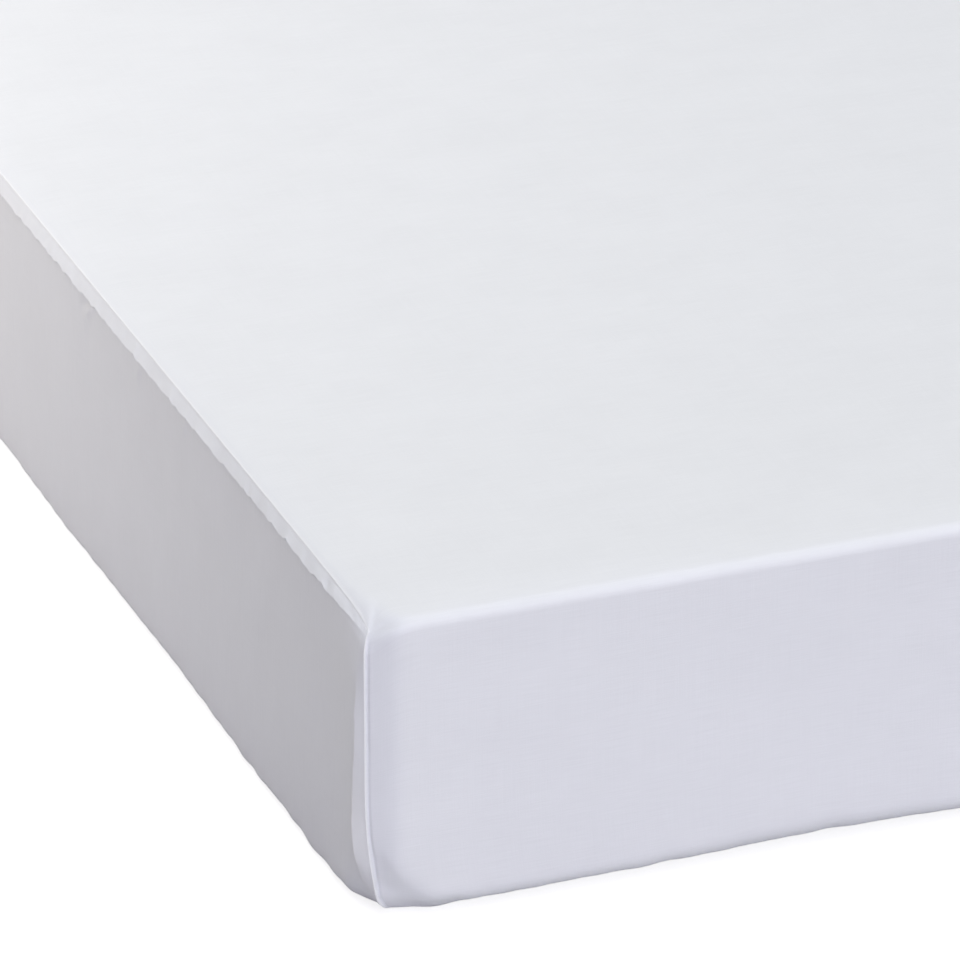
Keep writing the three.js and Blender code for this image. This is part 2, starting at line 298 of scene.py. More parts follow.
@dataclass(frozen=True)
class Crease:
    """A soft ridge in the cloth, or with a negative rise a trough, in millimetres.

    Its ends are (along, up) on a wall, from the wall's middle as seen from outside and from the
    floor, and (x, y) on the sleeping surface.
    """

    start: tuple[float, float]
    end: tuple[float, float]
    width: float
    rise: float

    def relief(self, along: Array, up: Array) -> Array:
        """How far the crease lifts the cloth.

        Args:
            along: Places along the cloth, in metres.
            up: Places up it, in metres.

        Returns:
            The rise at each, in metres.
        """
        from_start = along / MM - self.start[0], up / MM - self.start[1]
        run = self.end[0] - self.start[0], self.end[1] - self.start[1]
        share = (from_start[0] * run[0] + from_start[1] * run[1]) / (run[0] ** 2 + run[1] ** 2)
        share = np.clip(share, 0, 1)
        away = np.hypot(from_start[0] - share * run[0], from_start[1] - share * run[1])
        fade = 1 - (2 * share - 1) ** 4
        return self.rise * MM * fade * bell(away, self.width)


@dataclass(frozen=True)
class Tapered:
    """A size that holds down the wall and changes towards the foot, with its value at the floor
    and at the hem's inner edge."""

    wall: float
    floor: float
    hem: float
    height: float = 110 * MM

    def at(self, level: Level, up: Array) -> Array:
        """The size at a level, at a height."""
        size = mix(self.wall, self.floor, np.clip(1 - up / self.height, 0, 1) ** 2)
        return mix(self.hem, size, level.share) if level.stretch is Stretch.HEM else size


@dataclass(frozen=True)
class Faded:
    """A size that changes along a run, from its value at the corner to the rest of the run's."""

    corner: float
    rest: float
    reach: float
    power: float = 2.0

    def at(self, distance: Array) -> Array:
        """The size at a distance from the corner seam."""
        return mix(self.rest, self.corner, np.exp(-((distance / self.reach) ** self.power)))


@dataclass(frozen=True)
class Run:
    """One side of the cover as if it faced -Y.

    The corner seam stands "seam_along" in from the next wall's plane and "seam_in" in from this
    wall's. The cloth runs out from it nearly flat and bends into the wall at "bend" from the next
    wall's plane, the more softly the larger "blend" is.

    The top edge has the radius "top", and the seam's level lies at "seam_angle" on it. The foot
    edge is an elliptic roll: "foot" is how far in it reaches and "foot_rise" how high.
    """

    seam_along: Tapered
    seam_in: Tapered
    bend: Tapered
    blend: Tapered
    top: Faded
    seam_angle: Faded
    foot: Faded
    foot_rise: Faded
    swells: tuple[Swell, ...]
    foot_swells: tuple[EdgeSwell, ...]
    half_along: float = 0.0
    half_out: float = 0.0


SEAM_ASIDE = Tapered(wall=0.0, floor=14 * MM, hem=21 * MM)
SEAM_INWARD = Tapered(wall=13 * MM, floor=17 * MM, hem=52 * MM)
SEAM_ANGLE = Faded(corner=math.radians(54.5), rest=math.radians(33), reach=17 * MM)
END_RUN = Run(
    seam_along=SEAM_ASIDE,
    seam_in=SEAM_INWARD,
    bend=Tapered(wall=21.5 * MM, floor=88 * MM, hem=100 * MM, height=57 * MM),
    blend=Tapered(wall=2.5 * MM, floor=12.5 * MM, hem=24 * MM, height=57 * MM),
    top=Faded(corner=29 * MM, rest=9 * MM, reach=17 * MM),
    seam_angle=SEAM_ANGLE,
    foot=Faded(corner=16 * MM, rest=36 * MM, reach=60 * MM),
    foot_rise=Faded(corner=22 * MM, rest=20 * MM, reach=60 * MM),
    swells=(
        Swell(at=-0.72, level=0.45, spread=120, rise=0.8),
        Swell(at=-0.2, level=0.7, spread=150, rise=-0.7),
        Swell(at=0.35, level=0.4, spread=140, rise=0.7),
        Swell(at=0.8, level=0.55, spread=110, rise=-0.6),
    ),
    foot_swells=(
        EdgeSwell(at=-0.2, spread=110, extra=6.5),
        EdgeSwell(at=0.55, spread=90, extra=-4),
    ),
)
SIDE_RUN = Run(
    seam_along=SEAM_INWARD,
    seam_in=SEAM_ASIDE,
    bend=Tapered(wall=25.5 * MM, floor=65 * MM, hem=90 * MM),
    blend=Tapered(wall=2 * MM, floor=9 * MM, hem=18 * MM),
    top=Faded(corner=29 * MM, rest=9 * MM, reach=38 * MM, power=1.0),
    seam_angle=replace(SEAM_ANGLE, reach=60 * MM, power=1.0),
    foot=Faded(corner=16 * MM, rest=12 * MM, reach=51 * MM),
    foot_rise=Faded(corner=22 * MM, rest=12 * MM, reach=51 * MM),
    swells=(
        Swell(at=-0.86, level=0.5, spread=110, rise=-0.8),
        Swell(at=-0.62, level=0.45, spread=170, rise=1.0),
        Swell(at=-0.25, level=0.6, spread=200, rise=-0.8),
        Swell(at=0.15, level=0.4, spread=220, rise=0.9),
        Swell(at=0.55, level=0.6, spread=180, rise=-0.8),
        Swell(at=0.85, level=0.5, spread=130, rise=0.8),
    ),
    foot_swells=(
        EdgeSwell(at=-0.75, spread=90, extra=3),
        EdgeSwell(at=-0.4, spread=120, extra=-3),
        EdgeSwell(at=0.275, spread=75, extra=-4),
        EdgeSwell(at=0.55, spread=85, extra=3),
        EdgeSwell(at=0.745, spread=35, extra=-2.5),
        EdgeSwell(at=0.885, spread=22, extra=-4),
    ),
)
SWELL_FADE = (0, 60 * MM)
FOOT_SWELL_FADE = (20 * MM, 70 * MM)

# The roundings of the sleeping surface blend near a corner, over at most CORNER_BLEND and hardly
# at all at the seams. How far in a point lies there is found by repeating INSET_ROUNDS times.
CORNER_BLEND = 8 * MM
LEAST_BLEND = 0.01 * MM
INSET_ROUNDS = 24


@dataclass(frozen=True)
class WallGrid:
    """A panel's points on a wall, a row for each level and a column for each step along it.

    "along" is how far along the wall they lie from its middle and "from_seam" from the nearer
    corner seam. "flat_up" is how far up the flat cloth they lie. "on_wall" is false for the rows
    that lie under the mattress and true for the others.
    """

    place: Array
    along: Array
    from_seam: Array
    flat_up: Array
    on_wall: Array


@dataclass(frozen=True)
class Form:
    """A rounded body that cloth can be laid on: the cover's outside, or the mattress in it.

    At the upright corners the end's cloth makes most of the turn. Towards the foot the sides are
    drawn in to the corner seams, and towards the top its edges are rounder. "extra_rounding" is
    added to the roundings at top and foot, and "edge_shift" moves the seam's level down the top
    edge, or up it where it is negative.
    """

    half_width: float
    half_length: float
    top: float
    bottom: float = 0.0
    extra_rounding: float = 0.0
    edge_shift: float = 0.0
    hem_depth: float = 80 * MM

    def run(self, face: Face) -> Run:
        """The run of an end or of a side.

        Args:
            face: The end or side.

        Returns:
            Its run, at the form's size.
        """
        if face in (Face.FOOT, Face.HEAD):
            return replace(END_RUN, half_along=self.half_width, half_out=self.half_length)
        return replace(SIDE_RUN, half_along=self.half_length, half_out=self.half_width)

    def swell(self, run: Run, x: Array, height: Array, from_seam: Array) -> Array:
        """How far a wall swells out of its plane.

        Args:
            run: The wall's run.
            x: Places along it.
            height: Their heights.
            from_seam: Their distances from the nearer corner seam.

        Returns:
            The swell at each place.
        """
        rise = np.zeros_like(x)
        for swell in run.swells:
            away = (x / run.half_along - swell.at) * run.half_along / (swell.spread * MM)
            above = (height - swell.level * self.top) / (swell.spread * MM)
            rise = rise + swell.rise * MM * np.exp(-(away**2) - above**2)
        up_fade = np.sin(math.pi * np.clip(height / self.top, 0, 1))
        return rise * up_fade * smooth(from_seam, *SWELL_FADE)

    def foot_sizes(self, run: Run, along: Array, from_seam: Array) -> tuple[Array, Array]:
        """How far in and how high a foot edge's roll reaches.

        Args:
            run: The edge's run.
            along: Places along it.
            from_seam: Their distances from the nearer corner seam.

        Returns:
            How far in and how high it reaches at each place.
        """
        extra = np.zeros_like(along)
        for swell in run.foot_swells:
            away = along - swell.at * run.half_along
            extra = extra + swell.extra * MM * bell(away, swell.spread * MM)
        extra = self.extra_rounding + extra * smooth(from_seam, *FOOT_SWELL_FADE)
        return run.foot.at(from_seam) + extra, run.foot_rise.at(from_seam) + extra

    def rolled(
        self, level: Level, top: Array, foot: tuple[Array, Array], angle: Array
    ) -> tuple[Array, Array]:
        """How far in from the wall's plane and how high a level lies.

        Args:
            level: The level of the section.
            top: The radius of the top edge.
            foot: How far in and how high the foot edge's roll reaches.
            angle: How far over the top edge the seam lies, from the sleeping surface.

        Returns:
            The distances in and the heights.
        """
        reach, rise = foot
        if level.stretch is Stretch.HEM:
            return reach + (1 - level.share) * self.hem_depth, np.full_like(reach, self.bottom)
        if level.stretch is Stretch.FOOT:
            lean = (1 - level.share) * QUARTER
            return reach * (1 - math.cos(lean)), self.bottom + rise * (1 - math.sin(lean))
        if level.stretch is Stretch.WALL:
            return np.zeros_like(rise), mix(self.bottom + rise, self.top - top, level.share)
        lean = mix(QUARTER, angle, level.share)
        return top * (1 - np.sin(lean)), self.top - top * (1 - np.cos(lean))

    def line(self, run: Run, side: Array, from_seam: Array, level: Level) -> Array:
        """The points of the form at one level of a run that faces -Y.

        Args:
            run: The run.
            side: Which end of the run each point is nearer, as -1 or 1, and 0 for its middle.
            from_seam: Their distances from the nearer corner seam.
            level: The level of the section.

        Returns:
            The points.
        """
        distance, side = np.append(from_seam, 0.0), np.append(side, 1.0)
        top = run.top.at(distance) + self.extra_rounding
        foot = self.foot_sizes(run, side * (run.half_along - distance), distance)
        angle = np.maximum(run.seam_angle.at(distance) + self.edge_shift / top, 0)
        inset, height = self.rolled(level, top, foot, angle)
        seam_along, blend = run.seam_along.at(level, height), run.blend.at(level, height)
        bend = (run.bend.at(level, height) - seam_along) / blend
        reached = 1 - distance / run.half_along
        x = (run.half_along - inset[-1] - seam_along) * reached
        from_plane = run.half_along - inset[-1] - seam_along - x
        cut = run.seam_in.at(level, height) * np.logaddexp(0, bend - from_plane / blend)
        cut = cut / np.logaddexp(0, bend)
        x = side * x
        if level.stretch is Stretch.WALL:
            inset = inset - self.swell(run, x, height, distance)
        return np.stack([x, inset + cut - run.half_out, height], axis=-1)[:-1]

    def wall(self, face: Face, stages: Stages, levels: list[Level], trim: float = 0.0) -> WallGrid:
        """The form's points on an end or a side, turned to its place.

        Args:
            face: The end or side.
            stages: The stages in which the columns' steps grow, from a corner seam to the middle.
            levels: The rows' levels.
            trim: How far the cloth ends short of each corner seam.

        Returns:
            The points, from one corner seam to the other.
        """
        run = self.run(face)
        steps = graded_steps(run.half_along, *stages)
        along = np.concatenate([steps - run.half_along, (run.half_along - steps[::-1])[1:]])
        from_seam, side = np.maximum(run.half_along - np.abs(along), trim), np.sign(along)
        rows = [self.line(run, side, from_seam, level) for level in levels]
        place = quarter_turned(np.array(rows), face.value)
        flat_up = [[self.flat_height(run, level)] for level in levels]
        return WallGrid(
            place=place,
            along=np.broadcast_to(side * (run.half_along - from_seam), place.shape[:2]),
            from_seam=np.broadcast_to(from_seam, place.shape[:2]),
            flat_up=np.broadcast_to(flat_up, place.shape[:2]),
            on_wall=np.array([[level.stretch is not Stretch.HEM] for level in levels]),
        )

    def flat_height(self, run: Run, level: Level) -> float:
        """How far up the flat cloth a level lies at the run's middle.

        Args:
            run: The run.
            level: The level.

        Returns:
            Its distance from the hem's inner edge.
        """
        top, reach, rise = run.top.rest, run.foot.rest, run.foot_rise.rest
        lengths = {
            Stretch.HEM: self.hem_depth,
            Stretch.FOOT: (reach + rise) / 2 * QUARTER,
            Stretch.WALL: self.top - self.bottom - top - rise,
            Stretch.TOP: top * (QUARTER - run.seam_angle.rest),
        }
        below = 0.0
        for stretch, length in lengths.items():
            if stretch is level.stretch:
                return below + level.share * length
            below += length
        raise ValueError(level.stretch)

    def surface_height(self, x: Array, y: Array, from_side: Array, from_end: Array) -> Array:
        """The height of the sleeping surface inside its seams.

        Args:
            x: Places across.
            y: Places along the length.
            from_side: Their distances from the long seam's line.
            from_end: Their distances from the end's seam level.

        Returns:
            The heights, without a crown.
        """
        side, end = self.half_width - np.abs(x), self.half_length - np.abs(y)
        aside, inward, bend = SEAM_ASIDE.wall, SEAM_INWARD.wall, END_RUN.bend.wall
        tip = SIDE_RUN.top.corner * (1 - math.sin(SIDE_RUN.seam_angle.corner))
        side_top = SIDE_RUN.top.at(np.maximum(end - inward - tip, 0))
        end_top = END_RUN.top.at(np.maximum(side - aside - tip, 0))
        whole = np.logaddexp(0, (bend - aside) / END_RUN.blend.wall)
        from_outline = np.minimum(side, end)
        for _ in range(INSET_ROUNDS):
            cut = np.logaddexp(0, (bend - side + from_outline) / END_RUN.blend.wall) / whole
            from_outline = np.maximum(end - inward * np.minimum(cut, 1), 0)
        soft = np.clip(0.5 * np.minimum(from_side, from_end), LEAST_BLEND, CORNER_BLEND)
        nearest = -soft * np.logaddexp(-side / soft, -from_outline / soft)
        top = np.where(side < from_outline, side_top, end_top)
        sine = np.clip(1 - nearest / top, 0, 1)
        return self.top - top * (1 - np.sqrt(1 - sine * sine))


@dataclass(frozen=True)
class Tuck:
    """A crescent fold low on a wall, beside a corner: outside its arc the cloth falls back.

    The arc's centre (along, up), radius and reach are in millimetres. Its middle lies towards the
    corner and "lowest" below level. It fades where the cosine of the angle from there falls from
    the second of "ends" to the first.
    """

    centre: tuple[float, float]
    radius: float
    slope: float
    reach: float = 14
    lowest: float = math.radians(52)
    ends: Span = (0.5, 0.75)

    def relief(self, along: Array, up: Array) -> Array:
        """How far the cloth falls back.

        Args:
            along: Places along the wall, in metres.
            up: Their heights, in metres.

        Returns:
            The fall at each place, as a negative rise in metres.
        """
        outwards = (along / MM - self.centre[0]) * math.copysign(1, self.centre[0])
        downwards = self.centre[1] - up / MM
        away = np.maximum(np.hypot(outwards, downwards), 1)
        facing = outwards * math.cos(self.lowest) + downwards * math.sin(self.lowest)
        past = np.maximum(away - self.radius, 0)
        depth = self.slope * self.reach * (1 - np.exp(-past / self.reach))
        return -depth * MM * smooth(facing / away, *self.ends)


@dataclass(frozen=True)
class Allowance:
    """The turned allowance inside a seam. The side panel lies over it as a flat band, which ends
    at a wavering edge and steps back there to the wall.

    Where there is no allowance the band is "narrowest" of its width. It is flat from a share of
    1 / "onset" of the allowance on. Points further than "settled" from the seam don't slide.
    """

    width: float
    rise: float
    step: float
    # How much the band is whitened: partly for the cloth layers under it, partly a painted
    # highlight.
    layers_and_highlight_lightness: float
    wavers: tuple[Lumps, ...] = (
        Lumps(3.2 * MM, along=23 * MM, up=1.0),
        Lumps(2.24 * MM, along=8 * MM, up=1.0, seed=1),
    )
    slacks: tuple[Lumps, ...] = (
        Lumps(0.35 * MM, along=14 * MM, up=16 * MM),
        Lumps(0.35 * MM, along=6 * MM, up=12 * MM, seed=1),
    )
    slack_step: float = 3 * MM
    narrowest: float = 0.3
    onset: float = 3.0
    settled: float = 26 * MM

    def edge(self, along: Array, share: Array, seed: float) -> Array:
        """How far from the seam the band ends.

        Args:
            along: Places along the seam.
            share: How much of the allowance there is at each.
            seed: Which waver it has.

        Returns:
            The distance at each place.
        """
        waver = lumpy(self.wavers, along, np.zeros_like(along), seed)
        return (self.width + waver) * mix(self.narrowest, 1, share)

    def row(self, lines: Array) -> int:
        """The row of a grid that lies nearest the band's edge, counted from the seam's."""
        away = distance_down(lines)[::-1, lines.shape[1] // 2]
        return -1 - int(np.argmin(np.abs(away - self.width)))

    def slide(self, lines: Array, edge: Array) -> None:
        """Slides a grid's points along its columns, so that a row lies on the band's edge.

        Args:
            lines: Places, whose last row is the seam. They are changed.
            edge: How far from the seam the band ends on each column.
        """
        row, away = self.row(lines), distance_down(lines)
        for column, end in enumerate(edge):
            reached = away[::-1, column]
            moved = np.interp(reached, (0, away[row, column], self.settled), (0, end, self.settled))
            moved = np.where(reached < self.settled, moved, reached)
            for axis in range(3):
                line = lines[::-1, column, axis]
                line[:] = np.interp(moved, reached, line)

    def lay(self, lines: Array, facing: Array, share: Array, lift: Array, seed: float) -> Array:
        """Lays the cloth over the allowance.

        Args:
            lines: Places, whose last row is the seam. They are changed.
            facing: The ways the cloth faces there.
            share: How much of the allowance there is on each column.
            lift: How much of its rise it has on each.
            seed: Which unevenness the band has.

        Returns:
            How much lighter the cloth is made at each place: partly for the layers under it, partly
            as a painted highlight on the band.
        """
        row, away = self.row(lines), distance_down(lines)
        edge = away[row]
        rise = self.rise * lift
        top = lines[row] + facing[row] * rise[:, None]
        reach = np.minimum(away / edge, 1)
        stepped = 1 - smooth(away - edge, 0, self.step)
        lines[:row] += facing[:row] * (rise * stepped)[:row, :, None]
        band = mix(lines[-1], top, reach[row:, :, None])
        columns = np.broadcast_to(np.arange(lines.shape[1]) * self.slack_step, away.shape)
        slack = lumpy(self.slacks, columns, away, seed) * np.sin(math.pi * reach)
        band = band + facing[row:] * slack[row:, :, None]
        lines[row:] = mix(lines[row:], band, np.minimum(self.onset * share, 1)[:, None])
        return self.layers_and_highlight_lightness * lift * stepped


@dataclass(frozen=True)
class Presence:
    """How much of a corner's band there is: it grows above the floor, wanes to a share of itself
    and ends below the top."""

    grows: Span
    wanes: Span
    left: float
    ends: Span = (165 * MM, 215 * MM)

    def at(self, up: Array) -> Array:
        """The share at a height."""
        share = smooth(up, *self.grows) * mix(1, self.left, smooth(up, *self.wanes))
        return share * (1 - smooth(up, *self.ends))


def seam_views(grid: Array) -> tuple[Array, Array, Array]:
    """Views of a side panel's grid whose last row is one of its seams.

    Args:
        grid: The panel's grid, from its hem up to its long seam.

    Returns:
        The view from the long seam and those from its first and its last corner seam.
    """
    turned = np.swapaxes(grid, 0, 1)
    middle = len(turned) // 2
    return grid, turned[middle::-1], turned[middle:]


def linked(name: str, data: bpy.types.ID) -> bpy.types.Object:
    """Links an object to the scene.

    Args:
        name: The object's name.
        data: Its mesh, camera or light.

    Returns:
        The object.
    """
    made = bpy.data.objects.new(name, data)
    bpy.context.scene.collection.objects.link(made)
    return made


def meshed(name: str, form: bmesh.types.BMesh) -> bpy.types.Object:
    """Links the object of a finished bmesh.

    Args:
        name: The object's name.
        form: The bmesh, which is freed.

    Returns:
        The object.
    """
    mesh = bpy.data.meshes.new(name)
    form.to_mesh(mesh)
    form.free()
    return linked(name, mesh)


def grid_mesh(place: Array) -> bmesh.types.BMesh:
    """A grid of faces bent into place.

    Args:
        place: The grid's points, row by row.

    Returns:
        The grid, its vertices in the points' order.
    """
    rows, columns = place.shape[:2]
    form = bmesh.new()
    bmesh.ops.create_grid(form, x_segments=columns - 1, y_segments=rows - 1, size=1)
    for vertex, point in zip(form.verts, place.reshape(-1, 3)):
        vertex.co = point
    return form


def triangle_count(piece: bpy.types.Object) -> int:
    """Counts the triangles of a piece with its modifiers.

    Args:
        piece: The piece.

    Returns:
        How many it has.
    """
    shown = piece.evaluated_get(bpy.context.evaluated_depsgraph_get())
    mesh = shown.to_mesh()
    mesh.calc_loop_triangles()
    count = len(mesh.loop_triangles)
    shown.to_mesh_clear()
    return count


class Nodes:
    """Adds nodes to a tree and joins them."""

    def __init__(self, tree: bpy.types.NodeTree) -> None:
        """Starts on a tree."""
        self.tree = tree

    def fill(self, node: bpy.types.Node, inputs: dict) -> None:
        """Fills a node's inputs.

        Args:
            node: The node.
            inputs: Values or sockets for its inputs, by name or index.
        """
        for key, value in inputs.items():
            if isinstance(value, bpy.types.NodeSocket):
                self.tree.links.new(value, node.inputs[key])
            else:
                node.inputs[key].default_value = value

    def add(self, kind: str, inputs: dict | None = None, **settings: object) -> bpy.types.Node:
        """Adds a node.

        Args:
            kind: The node's type.
            inputs: Values or sockets for its inputs, by name or index.
            settings: Its own settings.

        Returns:
            The node.
        """
        made = self.tree.nodes.new(kind)
        for key, value in settings.items():
            setattr(made, key, value)
        self.fill(made, inputs or {})
        return made

    def math(self, operation: str, *values: object) -> bpy.types.NodeSocket:
        """The result of a Math node on values or sockets."""
        return self.add("ShaderNodeMath", dict(enumerate(values)), operation=operation).outputs[0]

    def blend(self, share: object, start: object, end: object) -> bpy.types.NodeSocket:
        """The colour a share of the way from start to end."""
        inputs = {0: share, 6: start, 7: end}
        return self.add("ShaderNodeMix", inputs, data_type="RGBA").outputs[2]

    def noise(self, place: object, size: tuple, detail: float = 1) -> bpy.types.NodeSocket:
        """Adds a noise.

        Args:
            place: Where it is read.
            size: How large its spots are along each axis.
            detail: How many finer noises it has on it.

        Returns:
            Its value, from 0 to 1.
        """
        scale = tuple(1 / side for side in size)
        scaled = self.add("ShaderNodeVectorMath", {0: place, 1: scale}, operation="MULTIPLY")
        inputs = {"Vector": scaled.outputs[0], "Scale": 1.0, "Detail": detail}
        return self.add("ShaderNodeTexNoise", inputs).outputs[0]


WEFT_SLUB = (34 * MM, 0.9 * MM, 1.0)
WARP_SLUB = (0.9 * MM, 60 * MM, 1.0)
MOTTLE = (90 * MM, 60 * MM, 1.0)
WARP_SHARE = 0.45
SLUB_HEIGHT = 2.0
SLUB_TONE = 1.6
MOTTLE_TONE = 0.8


def weave_group() -> bpy.types.NodeTree:
    """The node group of a plain weave with slubs, built once.

    Its place is in metres on the flat cloth. The weft, which holds the thick slubs, runs along its
    X. It puts out a height in threads and a tone from 0 to 1.

    Returns:
        The group.
    """
    name = "plain_weave"
    if name in bpy.data.node_groups:
        return bpy.data.node_groups[name]
    group = bpy.data.node_groups.new(name, "ShaderNodeTree")
    sockets = group.interface
    sockets.new_socket("Place", in_out="INPUT", socket_type="NodeSocketVector")
    for socket in ("Thread", "Slubs"):
        sockets.new_socket(socket, in_out="INPUT", socket_type="NodeSocketFloat")
    for socket in ("Height", "Tone"):
        sockets.new_socket(socket, in_out="OUTPUT", socket_type="NodeSocketFloat")
    nodes = Nodes(group)
    given = nodes.add("NodeGroupInput").outputs
    place, thread, slubs = given["Place"], given["Thread"], given["Slubs"]
    axes = nodes.add("ShaderNodeSeparateXYZ", {0: place}).outputs
    turns = [nodes.math("MULTIPLY", nodes.math("DIVIDE", axes[k], thread), math.pi) for k in (0, 1)]
    over = nodes.math("MULTIPLY", *(nodes.math("SINE", turn) for turn in turns))
    weft_slub, warp_slub = nodes.noise(place, WEFT_SLUB), nodes.noise(place, WARP_SLUB)
    mottle = nodes.noise(place, MOTTLE, detail=2)
    warp_streaks = nodes.math("MULTIPLY", warp_slub, WARP_SHARE)
    streaks = nodes.math("MULTIPLY_ADD", weft_slub, 1.0, warp_streaks)
    streaks = nodes.math("SUBTRACT", streaks, (1 + WARP_SHARE) / 2)
    streaks = nodes.math("MULTIPLY", streaks, slubs)
    thick = nodes.math("MULTIPLY", streaks, SLUB_HEIGHT)
    height = nodes.math("MULTIPLY_ADD", over, 0.5, thick)
    tone = nodes.math("MULTIPLY_ADD", nodes.math("SUBTRACT", mottle, 0.5), MOTTLE_TONE, 0.5)
    tone = nodes.math("ADD", tone, nodes.math("MULTIPLY", streaks, SLUB_TONE))
    nodes.add("NodeGroupOutput", {"Height": height, "Tone": tone})
    return group


def new_material(name: str) -> tuple[bpy.types.Material, Nodes, bpy.types.Node]:
    """Makes a material.

    Args:
        name: Its name.

    Returns:
        The material, its nodes and its surface shader.
    """
    made = bpy.data.materials.new(name)
    made.use_nodes = True
    return made, Nodes(made.node_tree), made.node_tree.nodes["Principled BSDF"]


@dataclass(frozen=True)
class WovenFinish:
    """A woven cloth's finish: its two tones, its lighter tone where layers of it lie at a seam,
    which also serves as a painted highlight along the seams and bands, its thread and how even the
    yarn is."""

    name: str
    light: Colour
    shade: Colour
    layered_and_highlight: Colour
    thread: float
    slubs: float
    relief: float
    roughness: float = 0.86
    sheen: float = 0.12
    sheen_roughness: float = 0.5
    specular: float = 0.22

    def material(self) -> bpy.types.Material:
        """Makes the cloth's material, on the piece's map of the flat cloth.

        Returns:
            The material.
        """
        made, nodes, surface = new_material(self.name)
        place = nodes.add("ShaderNodeUVMap", uv_map=FLAT_MAP).outputs[0]
        inputs = {"Place": place, "Thread": self.thread, "Slubs": self.slubs}
        weave = nodes.add("ShaderNodeGroup", inputs, node_tree=weave_group()).outputs
        tone = nodes.blend(weave["Tone"], (*self.shade, 1), (*self.light, 1))
        # Painted highlight: the seam attribute blends in a whiter tone along the seam lines and
        # over the allowance bands, partly for the cloth layers there and partly in place of light.
        layers = nodes.add("ShaderNodeAttribute", attribute_name=SEAM_LAYERS_AND_HIGHLIGHT).outputs["Fac"]
        tone = nodes.blend(layers, tone, (*self.layered_and_highlight, 1))
        bump = {"Height": weave["Height"], "Distance": self.relief, "Strength": 1.0}
        nodes.fill(surface, {
            "Base Color": tone,
            "Normal": nodes.add("ShaderNodeBump", bump).outputs[0],
            "Roughness": self.roughness,
            "Sheen Weight": self.sheen,
            "Sheen Roughness": self.sheen_roughness,
            "Specular IOR Level": self.specular,
        })
        return made


PROTECTOR_CLOTH = WovenFinish(
    name="protector_cloth",
    light=(0.885, 0.892, 0.925),
    shade=(0.835, 0.842, 0.875),
    # The whiter tone at seams, for the cloth layers there and as a painted highlight.
    layered_and_highlight=(0.975, 0.978, 0.99),
    thread=0.45 * MM,
    slubs=0.75,
    relief=0.05 * MM,
)
MATTRESS_TICKING = WovenFinish(
    name="mattress_ticking",
    light=(0.80, 0.79, 0.76),
    shade=(0.70, 0.69, 0.655),
    layered_and_highlight=(0.80, 0.79, 0.76),
    thread=0.9 * MM,
    slubs=0.5,
    relief=0.2 * MM,
)


@dataclass(frozen=True)
class ThreadFinish:
    """Sewing thread: smooth twisted yarn, a little glossier than the cloth."""

    name: str = "sewing_thread"
    light: Colour = (0.93, 0.93, 0.94)
    shade: Colour = (0.84, 0.84, 0.86)
    twist: float = 0.7 * MM
    relief: float = 0.05 * MM
    roughness: float = 0.6

    def material(self) -> bpy.types.Material:
        """Makes the thread's material, finely mottled as its twisted strands are.

        Returns:
            The material.
        """
        made, nodes, surface = new_material(self.name)
        place = nodes.add("ShaderNodeTexCoord").outputs["Object"]
        strands = nodes.noise(place, (self.twist,) * 3, detail=0)
        bump = {"Height": strands, "Distance": self.relief}
        nodes.fill(surface, {
            "Base Color": nodes.blend(strands, (*self.shade, 1), (*self.light, 1)),
            "Normal": nodes.add("ShaderNodeBump", bump).outputs[0],
            "Roughness": self.roughness,
        })
        return made


LOW_WALL = 0.21
END_WALL = np.concatenate([np.linspace(0, LOW_WALL, 17)[:-1], np.linspace(LOW_WALL, 1, 20)])
END_LEVELS = section_levels(hem=4, foot=10, wall=END_WALL, top=8)
SIDE_TOP_SHARE = 0.07
SIDE_WALL = np.concatenate([
    np.linspace(0, 1 - SIDE_TOP_SHARE, 29)[:-1],
    1 - SIDE_TOP_SHARE * np.linspace(1, 0, 18) ** 1.3,
])
SIDE_LEVELS = section_levels(hem=4, foot=8, wall=SIDE_WALL, top=9)
SEAM_LEVEL = Level(Stretch.TOP, 1.0)


@dataclass(kw_only=True)
class Panel:
    """A panel of the cover: a sheet laid on the cover's form and thickened inwards."""

    cover: Form
    trim: float = SEAM_TRIM
    thickness: float = CLOTH
    flat_size: Span = field(default=(0.0, 0.0), init=False)

    def sheet(self, name: str, place: Array, flat: Array, layers: Array) -> bpy.types.Object:
        """Makes the panel's piece and notes its flat size.

        Args:
            name: The piece's name.
            place: The points of its outside, row by row.
            flat: Their places on the flat cloth.
            layers: How much the cloth is whitened at each, from 0 to 1, for the cloth layers at a
                seam and as a painted highlight.

        Returns:
            The piece, with the flat cloth as its UV map and the layers as an attribute.
        """
        form = grid_mesh(place)
        mask = form.verts.layers.float.new(SEAM_LAYERS_AND_HIGHLIGHT)
        for vertex, value in zip(form.verts, layers.flat):
            vertex[mask] = value
        flat_map = form.loops.layers.uv.new(FLAT_MAP)
        flat_points = flat.reshape(-1, 2)
        form.verts.index_update()
        for edge in form.edges:
            edge.smooth = not edge.is_boundary
        for face in form.faces:
            face.smooth = True
            for loop in face.loops:
                loop[flat_map].uv = flat_points[loop.vert.index]
        piece = meshed(name, form)
        wall = piece.modifiers.new("thickness", "SOLIDIFY")
        wall.thickness = self.thickness
        wall.offset = -1
        wall.use_even_offset = False
        self.flat_size = (float(np.ptp(flat[..., 0])), float(np.ptp(flat[..., 1])))
        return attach(piece, "root")


